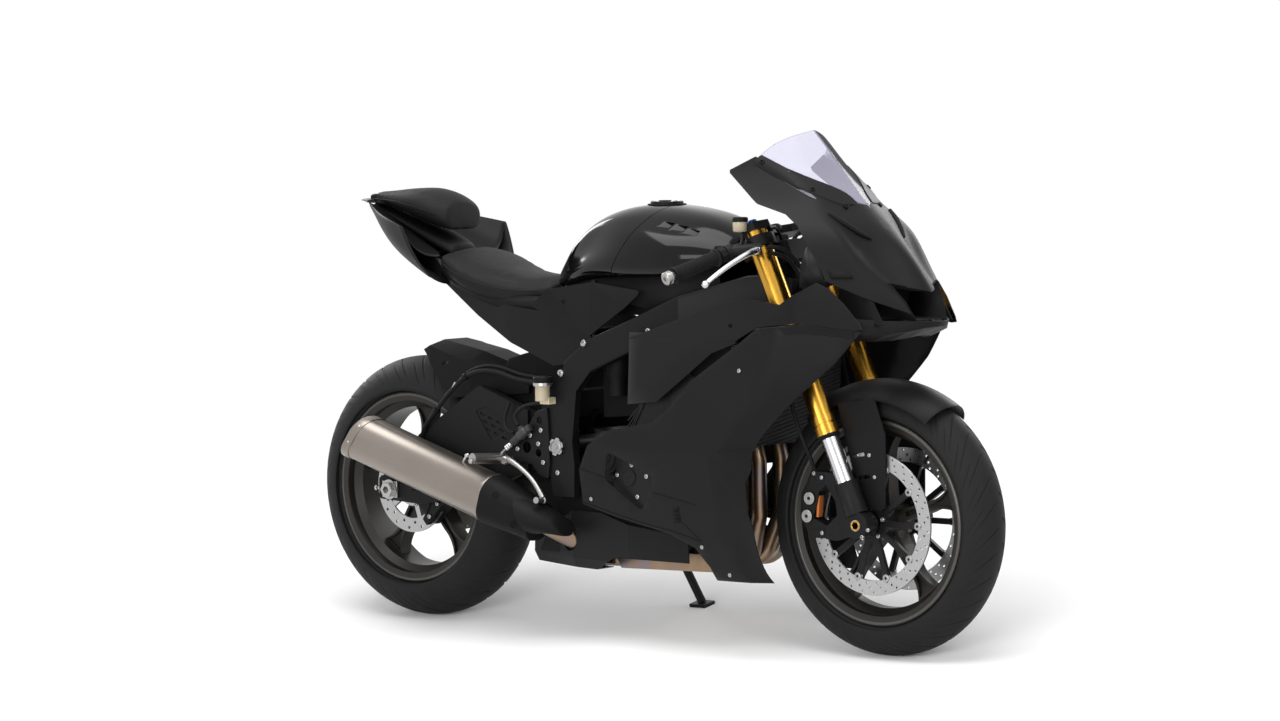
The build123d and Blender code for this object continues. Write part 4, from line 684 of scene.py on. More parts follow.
def piece(name, shape, slot, replaces=(), body="chassis", bevel=0.0, subdivide=0, thick=0.0, sharp=38.0,
          cutters=None):
    """Makes an object from a shape, finishes it and puts it on its body."""
    if cutters:
        shape = cut(shape, cutters)
    mesh = bpy.data.meshes.new(name)
    filled(mesh, shape, PARKED)
    mesh.polygons.foreach_set("use_smooth", [True] * len(mesh.polygons))
    thing = bpy.data.objects.new(name, mesh)
    bpy.context.scene.collection.objects.link(thing)
    if subdivide:
        levels = thing.modifiers.new("smooth", "SUBSURF")
        levels.levels = levels.render_levels = subdivide
    elif sharp:
        mesh.set_sharp_from_angle(angle=math.radians(sharp))
    if thick:
        wall = thing.modifiers.new("wall", "SOLIDIFY")
        wall.thickness, wall.offset = thick * MM, -1
    if bevel:
        edge = thing.modifiers.new("edge", "BEVEL")
        edge.width, edge.segments, edge.angle_limit = bevel * MM, 2, math.radians(PIECE_FOLD)
        edge.harden_normals = True
    mesh.materials.append(finish(slot))
    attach(thing, body)
    if replaces:
        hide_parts(*replaces)
    return thing


# ---- wheels ----
CROWN_ROWS = 30


def tyre_shape(centre, radius, half_width, seat, drop, pitches, sweep, groove):
    """Tyre with curved grooves: mesh columns follow the grooves, so that their edges are clean."""
    shoulder = radius - drop
    arc_radius = (half_width ** 2 + drop ** 2) / (2 * drop)
    half_angle = math.asin(half_width / arc_radius)
    # share of a pitch, right groove depth there, left groove depth there
    columns = [(0.0, 0, 0), (0.035, 1, 0), (0.085, 1, 0), (0.12, 0, 0), (0.3, 0, 0), (0.42, 0, 0),
               (0.455, 0, 1), (0.505, 0, 1), (0.54, 0, 0), (0.72, 0, 0), (0.86, 0, 0)]
    bead = [(216.5, seat - 13), (216.5, seat - 0.5), (231.2, seat - 0.5), (232.4, seat + 2.6),
            (234.5, seat + 4.4), (238.5, seat + 5.4), (shoulder - 3.5, half_width - 1.5)]
    right_wall, left_wall = ([(r, side * y, 0.0) for r, y in bead] for side in (-1, 1))
    crown = []
    for step in range(CROWN_ROWS + 1):
        angle = half_angle * (2 * step / CROWN_ROWS - 1)
        crown.append((radius - arc_radius * (1 - math.cos(angle)), arc_radius * math.sin(angle),
                      angle / half_angle))
    profile = right_wall + crown + left_wall[::-1]
    rings = []
    for pitch in range(pitches):
        for share, right, left in columns:
            ring = []
            for r, y, v in profile:
                lean_back = sweep * abs(v) ** 1.4
                angle = 2 * math.pi * (pitch + share) / pitches - lean_back
                near, far = (right, left) if v < 0 else (left, right)
                grooved = (near and 0.12 < abs(v) < 0.8) or (far and 0.5 < abs(v) < 0.93)
                depth = groove if grooved else 0.0
                ring.append((centre.x + (r - depth) * math.cos(angle), y,
                             centre.z + (r - depth) * math.sin(angle)))
            rings.append(ring)
    body = grid(rings, round_rows=True)
    ribs = []
    for side in (-1, 1):
        for rib, out in ((239.0, 5.2), (242.5, 6.6)):
            y = seat + out
            band = lathe([(rib - 0.9, side * (y - 0.3)), (rib, side * (y + 0.8)),
                          (rib + 0.9, side * (y - 0.3))], 180)
            ribs.append(moved(band, Matrix.Translation(centre)))
    return joined(body, *ribs)


def disc_outlines(centre, outer, inner, rows, holes, hole_radius):
    """Edge, inner edge and drilled holes of a brake disc, as x and z."""
    middle = (centre.x, centre.z)
    lines = [circle(outer, middle, 180), circle(inner, middle, 120)]
    for number in range(holes):
        for row, radius in enumerate(rows):
            angle = 2 * math.pi * (number + row / len(rows)) / holes
            at = (centre.x + radius * math.cos(angle), centre.z + radius * math.sin(angle))
            lines.append(circle(hole_radius, at, 12))
    return lines


# ---- stage ----
CAMERA_AZIMUTH = math.radians(39.59)
CAMERA_HEIGHT_ANGLE = math.radians(3.53)
CAMERA_ROLL = math.radians(-0.74)
CAMERA_DISTANCE = 9774.0
CAMERA_TARGET = Vector((-25.0, 0.0, 636.0))
SENSOR_WIDTH = 36.0
LENS = 118.3
FLOOR_SIZE = 80.0
# distances from the middle of the floor between which it fades to white, in metres
FADE_START, FADE_END = 1.0, 2.6


def look_through(azimuth, height_angle, roll, distance, target):
    """Camera placement in the upright frame."""
    back = Vector((math.sin(azimuth) * math.cos(height_angle), -math.cos(azimuth) * math.cos(height_angle),
                   math.sin(height_angle)))
    right = Vector((math.cos(azimuth), math.sin(azimuth), 0))
    up = back.cross(right)
    turned_right = math.cos(roll) * right + math.sin(roll) * up
    turned_up = -math.sin(roll) * right + math.cos(roll) * up
    turn = Matrix((turned_right, turned_up, back)).transposed().to_4x4()
    return Matrix.Translation(target + back * distance) @ turn


class StageSettings(bpy.types.PropertyGroup):
    key_power: bpy.props.FloatProperty(name="Key lamp", description="Power of the large lamp overhead",
                                       default=150.0, min=0.0, subtype="POWER")
    side_power: bpy.props.FloatProperty(name="Side lamps", description="Power of the tall lamps at the sides",
                                        default=70.0, min=0.0, subtype="POWER")
    ambient: bpy.props.FloatProperty(name="Ambient", description="Strength of the light from all round",
                                     default=0.45, min=0.0)
    floor_colour: bpy.props.FloatVectorProperty(name="Floor", description="Colour of the studio floor",
                                                default=(0.93, 0.93, 0.93), size=3, subtype="COLOR")


def area_lamp(name, at, aim, width, height, power):
    light = bpy.data.lights.new(name, "AREA")
    light.shape = "RECTANGLE"
    light.size, light.size_y, light.energy = width, height, power
    lamp = bpy.data.objects.new(name, light)
    bpy.context.scene.collection.objects.link(lamp)
    lamp.location = at
    lamp.rotation_euler = (Vector(aim) - Vector(at)).to_track_quat("-Z", "Y").to_euler()
    return lamp


def seen_directly(f):
    """1 for what the camera, a reflection or a clear sheet looks at, and 0 for light on the machine."""
    camera = f.node("ShaderNodeLightPath", output="Is Camera Ray")
    glossy = f.node("ShaderNodeLightPath", output="Is Glossy Ray")
    through = f.node("ShaderNodeLightPath", output="Is Transmission Ray")
    return camera.math("MAXIMUM", glossy).math("MAXIMUM", through)


class BuildStage(bpy.types.Operator):
    """Camera, floor, lamps and world"""
    bl_idname = "motorcycle.stage"
    bl_label = "Stage"

    def execute(self, context):
        settings = context.scene.motorcycle_stage
        camera = bpy.data.cameras.new("camera")
        camera.lens, camera.sensor_width, camera.sensor_fit = LENS, SENSOR_WIDTH, "HORIZONTAL"
        camera.clip_end = 200.0
        viewer = bpy.data.objects.new("camera", camera)
        context.scene.collection.objects.link(viewer)
        seen = PARKED @ look_through(CAMERA_AZIMUTH, CAMERA_HEIGHT_ANGLE, CAMERA_ROLL, CAMERA_DISTANCE,
                                     CAMERA_TARGET)
        viewer.matrix_world = Matrix.LocRotScale(seen.translation, seen.to_quaternion(), None)
        context.scene.camera = viewer
        bpy.ops.mesh.primitive_plane_add(size=FLOOR_SIZE)
        floor = context.object
        floor.name = "studio_floor"
        floor.data.materials.append(self.floor_finish(settings.floor_colour))
        area_lamp("lamp_overhead", (0.2, -0.6, 4.2), (0, 0, 0.6), 4.5, 2.6, settings.key_power)
        area_lamp("lamp_right", (1.2, -4.6, 1.9), (0, 0, 0.6), 3.2, 1.4, settings.side_power)
        area_lamp("lamp_front", (4.6, -1.4, 2.6), (0.3, 0, 0.6), 1.6, 2.0, settings.side_power * 0.5)
        area_lamp("lamp_rear", (-4.6, 1.6, 2.2), (0, 0, 0.6), 1.6, 2.0, settings.side_power)
        area_lamp("lamp_left", (0.4, 4.8, 2.0), (0, 0, 0.6), 3.2, 1.2, settings.side_power)
        self.light_world(context.scene, settings.ambient)
        context.scene.view_settings.view_transform = "Standard"
        return {"FINISHED"}

    def floor_finish(self, colour):
        """White to the camera, with the machine's shadow kept."""
        f = Finish("studio_floor")
        cloud = f.noise(0.6, 2.0)
        diffuse = f.node("ShaderNodeBsdfDiffuse", None, {
            "Color": f.blend(cloud, (*colour, 1), tone(colour, 1.02)), "Roughness": 0.6})
        at = f.node("ShaderNodeTexCoord", output="Object")
        reach = f.node("ShaderNodeVectorMath", {"operation": "LENGTH"}, {0: at}, output=1)
        far = f.node("ShaderNodeMapRange", {"interpolation_type": "SMOOTHSTEP"},
                     {"Value": reach, "From Min": FADE_START, "From Max": FADE_END})
        share = far * seen_directly(f)
        white = f.node("ShaderNodeEmission", None, {"Color": (1, 1, 1, 1), "Strength": 1.0})
        shown = f.node("ShaderNodeMixShader", None, {0: share, 1: diffuse, 2: white})
        f.node("ShaderNodeOutputMaterial", None, {"Surface": shown})
        return f.material

    def light_world(self, scene, ambient):
        world = bpy.data.worlds.new("studio")
        scene.world = world
        world.use_nodes = True
        f = Finish(None, world.node_tree)
        strength = f.between(seen_directly(f), ambient, 1.0)
        light = f.node("ShaderNodeBackground", None, {"Color": (1, 1, 1, 1), "Strength": strength})
        f.node("ShaderNodeOutputWorld", None, {"Surface": light})


# width of the rounding on the edges of pieces that come with the frame
SOFTENED = {
    "main_frame": 1.6, "swingarm": 1.8, "front_calipers": 1.2, "rear_caliper": 1.2, "triple_clamps": 1.2,
    "subframe": 1.0, "engine_covers": 1.2, "engine_block": 1.6, "footrests": 1.0, "fork_bottoms": 1.2,
    "side_panels": 0.7, "nose_cowl": 0.6, "chin_panel": 0.6, "upper_panels": 0.6, "mid_panels": 0.6,
    "belly_pan": 0.7, "front_fender": 0.7, "rear_hugger": 0.7, "silencer": 0.8, "silencer_cover": 1.6,
    "tank_side_covers": 0.6, "radiator": 0.8, "side_stand": 1.0, "stand_bracket": 1.0,
    "instrument_panel": 1.2, "handlebars": 0.8, "front_disc_carriers": 0.5, "rear_sprocket": 0.4,
    "fuel_cap": 0.8,
}


class FinishNodes(bpy.types.Operator):
    """Material of every piece that comes with the frame"""
    bl_idname = "motorcycle.finish_nodes"
    bl_label = "Finish frame pieces"

    def execute(self, context):
        for name, node in NODES.items():
            node.data.materials.clear()
            node.data.materials.append(finish(SLOT_OF[name]))
            if name in SOFTENED:
                merge = node.modifiers.new("merge", "WELD")
                merge.merge_threshold = 0.00001
                edge = node.modifiers.new("edge", "BEVEL")
                edge.width, edge.segments, edge.angle_limit = SOFTENED[name] * MM, 2, math.radians(NODE_FOLD)
        return {"FINISHED"}


class WheelSettings(bpy.types.PropertyGroup):
    tread_depth: bpy.props.FloatProperty(name="Tread depth", description="Depth of the grooves in the tyres",
                                         default=0.0024, min=0.0, unit="LENGTH")
    hole_radius: bpy.props.FloatProperty(name="Disc holes", description="Radius of the discs' holes",
                                         default=0.0027, min=0.001, unit="LENGTH")


class BuildTyres(bpy.types.Operator):
    """Tyres with curved grooves and ribbed sidewalls"""
    bl_idname = "motorcycle.tyres"
    bl_label = "Tyres"

    def execute(self, context):
        depth = context.scene.motorcycle_wheels.tread_depth / MM
        front = tyre_shape(FRONT_AXLE, FRONT_RADIUS, FRONT_HALF_WIDTH, FRONT_SEAT, 55.0, 34, 0.36, depth)
        rear = tyre_shape(REAR_AXLE, REAR_RADIUS, REAR_HALF_WIDTH, REAR_SEAT, 75.0, 28, 0.34, depth)
        piece("tyre_front_grooved", front, "tyre_rubber", ["front_tyre"], body="front_wheel", sharp=30)
        piece("tyre_rear_grooved", rear, "tyre_rubber", ["rear_tyre"], body="rear_wheel", sharp=30)
        return {"FINISHED"}


BOBBIN_CIRCLE, HUB_BOLT_CIRCLE, REAR_BOLT_CIRCLE = 125.5, 33.0, 44.0
# caliper caps and sockets: places behind and above the front axle
CAP_PLACES = ((-141, 52), (-148, 12))
CALIPER_FACE = -DISC_Y - 43


class BuildBrakes(bpy.types.Operator):
    """Drilled discs, bobbins, and the fittings of the calipers"""
    bl_idname = "motorcycle.brakes"
    bl_label = "Brakes"

    def execute(self, context):
        hole = context.scene.motorcycle_wheels.hole_radius / MM
        middle = (FRONT_AXLE.x, FRONT_AXLE.z)
        disc = plate(disc_outlines(FRONT_AXLE, 160.0, 127.0, (133, 143.5, 154), 30, hole), -DISC_Y, 5.0)
        bobbin = [(3.2, -3.8), (8.6, -3.8), (8.6, -2.7), (7.6, -2.2), (7.6, 2.2), (8.6, 2.7), (8.6, 3.8),
                  (6.4, 4.4), (3.2, 4.4)]
        # painted shade: black plugs fill the bobbins' bores
        core = [(3.3, -3.4), (3.3, 3.6), (0.01, 3.6)]
        places = [(x, -DISC_Y, z) for x, z in circle(BOBBIN_CIRCLE, middle, 10)]
        bobbins = [turned(bobbin, at, RIGHT, 24) for at in places]
        bore_shades = [turned(core, at, RIGHT, 12) for at in places]
        bolts = [bolt((x, -DISC_Y - 2, z), RIGHT, 5.2, 4.0)
                 for x, z in circle(HUB_BOLT_CIRCLE, middle, 5, math.radians(18))]
        piece("discs_drilled", both(disc), "disc_steel", ["front_discs"], body="front_wheel", sharp=30)
        piece("disc_bobbins", both(joined(*bobbins)), "alloy_silver", body="front_wheel")
        piece("disc_bobbin_cores", both(joined(*bore_shades)), "carrier_black", body="front_wheel")
        piece("disc_bolts", both(joined(*bolts)), "bolt_steel", body="front_wheel")
        self.calipers(*middle)
        self.rear(REAR_AXLE.x, REAR_AXLE.z)
        return {"FINISHED"}

    def calipers(self, x, z):
        cap = [(14.2, -2), (14.2, 1.2), (12.8, 2.4), (9.6, 2.4), (9.0, 1.2), (6.4, 1.2), (5.6, 2.2),
               (0.01, 2.2)]
        # painted shade: a flat black hexagon on each cap stands for its socket's hollow
        socket = [(4.6, 2.25), (4.6, 2.5), (0.01, 2.5)]
        places = [(x + a, CALIPER_FACE, z + b) for a, b in CAP_PLACES]
        ribs = [prism([(x + a, z + b) for a, b in line], CALIPER_FACE + 1.5, CALIPER_FACE + 5)
                for line in ([(-120, 84), (-96, 92), (-96, 106), (-126, 106)],
                             [(-136, -30), (-96, -30), (-96, -14), (-140, -18)])]
        hose_bolt = bolt((x - 128, CALIPER_FACE + 3, z + 108), (-0.2, -1, 0.3), 5.5, 4.5)
        pads = prism([(x - 127, z + 10), (x - 121, z + 10), (x - 117, z + 58), (x - 124, z + 60)],
                     CALIPER_FACE + 7, CALIPER_FACE + 23)
        caps = joined(*(turned(cap, at, RIGHT, 40) for at in places))
        sockets = joined(*(turned(socket, at, RIGHT, 6) for at in places))
        piece("caliper_caps", both(caps), "alloy_silver", body="steering")
        piece("caliper_socket_shades", both(sockets), "carrier_black", body="steering")
        piece("caliper_ribs", both(joined(*ribs)), "cast_black", body="steering", bevel=1.2)
        piece("caliper_bolts", both(hose_bolt), "bolt_steel", body="steering")
        piece("caliper_pads", both(pads), "pad_copper", body="steering", bevel=0.8)

    def rear(self, x, z):
        bolts = [bolt((a, -DISC_Y - 5.1, b), RIGHT, 5.0, 3.6) for a, b in circle(REAR_BOLT_CIRCLE, (x, z), 5)]
        heads = [bolt((x + a, -92.2, z + b), RIGHT, 5.5, 4) for a, b in ((78, -66), (104, -34))]
        piece("rear_disc_bolts", joined(*bolts), "bolt_steel", body="rear_wheel")
        piece("rear_caliper_bolts", joined(*heads), "bolt_steel")


class BuildWheelFittings(bpy.types.Operator):
    """Valves, and painted highlights along the edges of the rims"""
    bl_idname = "motorcycle.wheel_fittings"
    bl_label = "Wheel fittings"

    def execute(self, context):
        lip = [(230.4, 3.0), (229.6, 5.4), (226.4, 7.0), (223.0, 7.3), (221.5, 6.4)]
        stem = [(4.6, 0), (4.6, 5), (3.0, 8), (3.0, 18), (3.6, 19), (3.6, 27), (2.6, 28), (0.01, 28)]
        valve_way = Vector((math.cos(math.radians(54)), 0, math.sin(math.radians(54))))
        for name, centre, seat in (("front", FRONT_AXLE, FRONT_SEAT), ("rear", REAR_AXLE, REAR_SEAT)):
            # painted highlight: lighter rings along both edges of each rim
            lips = [lathe([(radius, side * (seat + out)) for radius, out in lip], 180) for side in (-1, 1)]
            edge = moved(joined(*lips), Matrix.Translation(centre))
            piece(f"rim_edge_{name}", edge, "rim_edge", body=f"{name}_wheel", sharp=50)
            valve = turned(stem, centre + 192 * valve_way, -valve_way, 16)
            piece(f"valve_{name}", valve, "trim_black", body=f"{name}_wheel")
        return {"FINISHED"}


class BuildFork(bpy.types.Operator):
    """Axle end, pinch bolts and adjusters of the fork"""
    bl_idname = "motorcycle.fork"
    bl_label = "Fork fittings"

    def execute(self, context):
        x, z = FRONT_AXLE.x, FRONT_AXLE.z
        ring = turned([(8.8, -6), (8.8, 1.0), (10.2, 1.6), (11.8, 1.6), (12.4, 0.6), (12.4, -2)],
                      (x, -FORK_SPREAD - 22, z), RIGHT, 6)
        piece("axle_ring", both(ring), "fork_gold", body="steering", bevel=0.3)
        bolts = [bolt((x + dx, -FORK_SPREAD - 18.5, z + dz), RIGHT, 4.6, 4.2)
                 for dx, dz in ((33, -8), (17, -24))]
        bolts += [bolt((x - 98, -FORK_SPREAD - 11.4, z + dz), RIGHT, 4.6, 4.0) for dz in (101, -22)]
        piece("foot_bolts", both(joined(*bolts)), "bolt_steel", body="steering")
        for side, name, colour in ((-1, "right", "fork_blue"), (1, "left", "fork_gold")):
            cap = turned([(11.5, 0), (11.5, 5.5), (10, 7), (7, 7), (7, 4), (0.01, 4)],
                         leg_point(FORK_TOP_Z, side) + 6 * STEER_UP, STEER_UP, 24)
            seal = turned([(25.4, -1), (25.4, -5), (22.4, -9), (20.8, -9)],
                          leg_point(SEAL_Z, side), STEER_UP, 48)
            piece(f"fork_adjuster_{name}", cap, colour, body="steering")
            piece(f"fork_seal_{name}", seal, "trim_black", body="steering")
        return {"FINISHED"}


def steer_rise(z):
    """Way along the steering axis from the front axle's height up to z."""
    return (z - FRONT_RADIUS) / math.cos(RAKE) * STEER_UP


def leg_point(z, side):
    """Point on a fork leg's middle line."""
    return FRONT_AXLE + steer_rise(z) + Vector((0, side * FORK_SPREAD, 0))


def grip_ends():
    """Root and end of the right bar."""
    root = STEER_FOOT + (FORK_OFFSET - 6) * STEER_AHEAD + steer_rise(BAR_Z) + 14 * STEER_UP
    return root + Vector((0, -FORK_SPREAD - 36, 0)), Vector((345.0, -338.0, 850.0))


GRIP_LENGTH = 130.0
# distance of the lever's perch from the bar's end
PERCH_BACK = 162.0
LEVER_PIVOT = Vector((57, 31, 7))


class BuildControls(bpy.types.Operator):
    """Ridged grips, levers, master cylinder with its cup, switch housings and bar ends"""
    bl_idname = "motorcycle.controls"
    bl_label = "Controls"

    def execute(self, context):
        root, end = grip_ends()
        way = (end - root).normalized()
        profile = [(11.4, 0), (19.5, 0), (21, 1.2), (21, 4.5), (18.2, 6)]
        for ridge in range(26):
            at = 8 + ridge * 4.1
            profile += [(15.4, at), (16.6, at + 0.9), (16.6, at + 2.5), (15.4, at + 3.4)]
        profile += [(17.2, 117), (18.6, 119), (18.6, 121.5), (11.4, 121.5)]
        start = end - way * GRIP_LENGTH
        piece("grips_ridged", both(turned(profile, start, way, 40)), "grip_rubber", ["grips"], body="steering",
              sharp=50)
        weight = turned([(11, -7.6), (11, 0.4), (15, 0.4), (15, 3), (13.4, 4), (13.4, 6), (15, 7), (15, 14),
                         (12.6, 16), (5, 16), (5, 12), (0.01, 12)], end, way, 32)
        piece("bar_ends", both(weight), "alloy_silver", body="steering", sharp=30)
        perch = end - way * PERCH_BACK
        blade_line = [perch + Vector(offset) for offset in (
            LEVER_PIVOT, (67, 14, 5), (70, -14, 0), (63, -48, -14), (52, -82, -33), (42, -108, -51),
            (35, -126, -65))]
        blade = tube(blade_line, [8.0, 9.0, 7.4, 6.4, 6.2, 6.2, 6.4], 16, 6)
        ball = turned([(0.01, -9.4), (5.2, -8), (8.4, -4.6), (9.4, 0), (8.4, 4.6), (5.2, 8), (0.01, 9.4)],
                      blade_line[-1], (0, -1, -0.5), 24)
        pin = turned([(6, -11), (6, 9), (4.5, 10), (2.2, 10), (2.2, 7), (0.01, 7)], perch + LEVER_PIVOT,
                     STEER_UP, 20)
        adjuster = turned([(7.2, -7), (7.2, 7), (5.5, 8.2), (0.01, 8.2)], perch + Vector((70, 3, 1)), way, 12)
        piece("lever_blades", both(joined(blade, ball, adjuster)), "lever_alloy", ["levers"], body="steering",
              sharp=50)
        piece("lever_pins", both(pin), "bolt_steel", body="steering")
        clamp = turned([(11.4, -9), (18.5, -9), (19, -7.5), (19, 7.5), (18.5, 9), (11.4, 9)], perch, way, 40)
        body_line = [perch + Vector(offset) for offset in ((8, 2, 3), (26, 9, 5), (44, 24, 7), (62, 40, 9))]
        body = tube(body_line, [12, 12.5, 13, 12], 20, 6)
        ear = tube([perch + Vector((38, 20, 6)), perch + LEVER_PIVOT], [9, 9], 16, 3)
        piece("lever_perches", both(joined(clamp, body, ear)), "cast_black", body="steering", sharp=50)
        self.switches(end, way)
        self.cup(perch)
        return {"FINISHED"}

    def switches(self, end, way):
        at = end - way * 144
        shell = turned([(11.4, -9), (17, -9), (19, -7), (19, 8), (17.5, 10), (11.4, 10)], at, way, 8)
        to_rider = facing(at, (-0.7, 0.1, 0.7))
        rocker = moved(block(6, 4, 21, 24.5), to_rider)
        piece("switch_housings", both(joined(shell, moved(block(12, 9, 14, 22), to_rider))), "trim_black",
              body="steering", bevel=1.5)
        piece("switch_rocker", rocker, "switch_red", body="steering", bevel=0.8)
        piece("switch_rocker_left", mirrored(rocker), "trim_black", body="steering", bevel=0.8)

    def cup(self, perch):
        """Fluid cup on its arm, and the hose down to the master cylinder."""
        at = perch + Vector((-4, 48, 44))
        cup = turned([(0.01, 0), (13, 0), (16, 3), (16.5, 24), (0.01, 24)], at, UP, 40)
        lid = turned([(17, 23), (18.4, 24), (18.4, 31), (16.5, 33.5), (12, 34), (0.01, 34)], at, UP, 24)
        arm = tube([perch + Vector((26, 12, 12)), perch + Vector((16, 30, 30)), at + Vector((6, 2, 6))],
                   3.4, 10, 5)
        hose = tube([at + Vector((10, 4, 1)), at + Vector((20, 0, -18)), perch + Vector((34, 18, 14))],
                    4.2, 12, 6)
        piece("fluid_cup", cup, "reservoir_amber", body="steering", sharp=50)
        piece("fluid_cup_lid", lid, "trim_black", body="steering", sharp=40)
        piece("fluid_cup_arm", joined(arm, hose), "trim_black", body="steering")


class BuildChain(bpy.types.Operator):
    """Links round both sprockets"""
    bl_idname = "motorcycle.chain"
    bl_label = "Drive chain"

    def execute(self, context):
        pitch, front_teeth, rear_teeth = 15.875, 16, 44
        front = GEARBOX_SHAFT
        small, large = (pitch / (2 * math.sin(math.pi / teeth)) for teeth in (front_teeth, rear_teeth))
        span = front - REAR_AXLE
        tilt = math.atan2(span.z, span.x)
        spread = math.acos((large - small) / span.length)

        def on(centre, radius, angle):
            return centre + radius * Vector((math.cos(angle), 0, math.sin(angle)))

        # the loop as straight runs and arcs, each with its length
        high, low = tilt + spread, tilt - spread
        top = (on(REAR_AXLE, large, high), on(front, small, high))
        bottom = (on(front, small, low), on(REAR_AXLE, large, low))
        run = (top[1] - top[0]).length
        nose, tail = 2 * spread * small, (2 * math.pi - 2 * spread) * large
        whole = 2 * run + nose + tail
        count = 2 * round(whole / pitch / 2)

        def place(share):
            """Point on the loop and the direction of the chain there."""
            s = (share % 1.0) * whole
            if s < run:
                return top[0].lerp(top[1], s / run), (top[1] - top[0]).normalized()
            s -= run
            if s < nose:
                angle = high - s / small
                return on(front, small, angle), Vector((math.sin(angle), 0, -math.cos(angle)))
            s -= nose
            if s < run:
                return bottom[0].lerp(bottom[1], s / run), (bottom[1] - bottom[0]).normalized()
            angle = low - (s - run) / large
            return on(REAR_AXLE, large, angle), Vector((math.sin(angle), 0, -math.cos(angle)))

        outer, inner, pins = [], [], []
        for link in range(count):
            here, _ = place(link / count)
            after, _ = place((link + 1) / count)
            along = (after - here).normalized()
            across = Vector((-along.z, 0, along.x))
            outline = []
            for centre, sign in ((here, -1), (after, 1)):
                for step in range(9):
                    turn = math.radians(-100 + 25 * step)
                    outline.append(centre + 6.8 * sign * (math.cos(turn) * along + math.sin(turn) * across))
                outline.append((here + after) / 2 + sign * 4.9 * across)
            shape = [(point.x, point.z) for point in outline]
            faces, store = ((4.1, 5.0), inner) if link % 2 else ((5.05, 5.9), outer)
            middle = here + Vector((0, CHAIN_Y, 0))
            for side in (-1, 1):
                store.append(prism(shape, *sorted(CHAIN_Y + side * face for face in faces)))
                pins.append(turned([(2.6, 5.0), (2.6, 6.4), (1.8, 6.8), (0.01, 6.8)],
                                   middle, (0, side, 0), 10))
            # rollers show on the straight runs alone
            share = link / count * whole
            if 24 < share < run - 24 or run + nose + 24 < share < 2 * run + nose - 24:
                pins.append(turned([(0.01, -4.1), (4.9, -4.1), (4.9, 4.1), (0.01, 4.1)], middle, LEFT, 12))
        piece("chain_inner_plates", joined(*inner), "chain_steel", ["drive_chain"], sharp=30)
        piece("chain_outer_plates", joined(*outer), "chain_steel", sharp=30)
        piece("chain_rollers", joined(*pins), "bolt_steel", sharp=30)
        return {"FINISHED"}


# metres that a pad's core lies within its outer size, its voxels, and how long the cover is blown up
PAD_INSET = 0.002
PAD_VOXEL = 0.006
CLOTH_FRAMES = 15


class SeatSettings(bpy.types.PropertyGroup):
    pressure: bpy.props.FloatProperty(name="Seat pressure", description="Push of the padding on the cover",
                                      default=4.0, min=0.0)
    travel: bpy.props.FloatProperty(name="Seat swell", description="Furthest that the cover may move",
                                    default=0.005, min=0.0, unit="LENGTH")


class BuildSeats(bpy.types.Operator):
    """Padded rider's seat and rear pad with their seams"""
    bl_idname = "motorcycle.seats"
    bl_label = "Seats"

    def execute(self, context):
        settings = context.scene.motorcycle_seats
        for name, node in (("seat_padded", "rider_seat"), ("rear_pad_padded", "rear_seat_pad")):
            pad = self.padded(context, name, node, settings)
            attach(pad, "chassis")
            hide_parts(node)
        self.seams()
        return {"FINISHED"}

    def padded(self, context, name, node, settings):
        source = NODES[node].data
        pad = bpy.data.objects.new(name, source.copy())
        context.scene.collection.objects.link(pad)
        middle = sum((vertex.co for vertex in pad.data.vertices), Vector()) / len(pad.data.vertices)
        for vertex in pad.data.vertices:
            inward = middle - vertex.co
            vertex.co += inward.normalized() * min(PAD_INSET, inward.length * 0.5)
        remesh = pad.modifiers.new("remesh", "REMESH")
        remesh.mode, remesh.voxel_size = "VOXEL", PAD_VOXEL
        apply_modifiers(context, pad)
        start = [vertex.co.copy() for vertex in pad.data.vertices]
        blown = pad.modifiers.new("cloth", "CLOTH")
        blown.collision_settings.use_collision = False
        cloth = blown.settings
        cloth.quality = 6
        cloth.mass, cloth.tension_stiffness, cloth.compression_stiffness = 0.3, 30, 30
        cloth.bending_stiffness = 8
        cloth.use_pressure, cloth.uniform_pressure_force = True, settings.pressure
        cloth.effector_weights.gravity = 0
        for frame_number in range(1, CLOTH_FRAMES + 1):
            context.scene.frame_set(frame_number)
        apply_modifiers(context, pad)
        context.scene.frame_set(1)
        for vertex, place in zip(pad.data.vertices, start):
            step = vertex.co - place
            if step.length > settings.travel:
                vertex.co = place + step * (settings.travel / step.length)
        smooth = pad.modifiers.new("smooth", "SMOOTH")
        smooth.factor, smooth.iterations = 0.5, 2
        apply_modifiers(context, pad)
        pad.modifiers.new("cover", "SUBSURF").render_levels = 1
        pad.data.polygons.foreach_set("use_smooth", [True] * len(pad.data.polygons))
        pad.data.materials.clear()
        pad.data.materials.append(finish("seat_cover"))
        return pad

    def seams(self):
        """Raised welts along the sides of both pads."""
        for name, node, stations in (("seat_welts", "rider_seat", (-255, -300, -360, -420, -480, -520)),
                                     ("rear_pad_welts", "rear_seat_pad", (-590, -640, -700, -760, -820))):
            line = []
            for x in stations:
                top, _ = surface(node, (x, -20, 1200), (0, 0, -1))
                foot, _ = surface(node, (x, -20, 600), UP)
                hit, normal = on_right(node, x, foot.z + 0.45 * (top.z - foot.z))
                line.append(hit + normal * 0.4)
            piece(name, both(tube(line, 1.5, 8, 5)), "seat_cover")


FILLER_X, CAP_TOP = 62.0, 1006.2
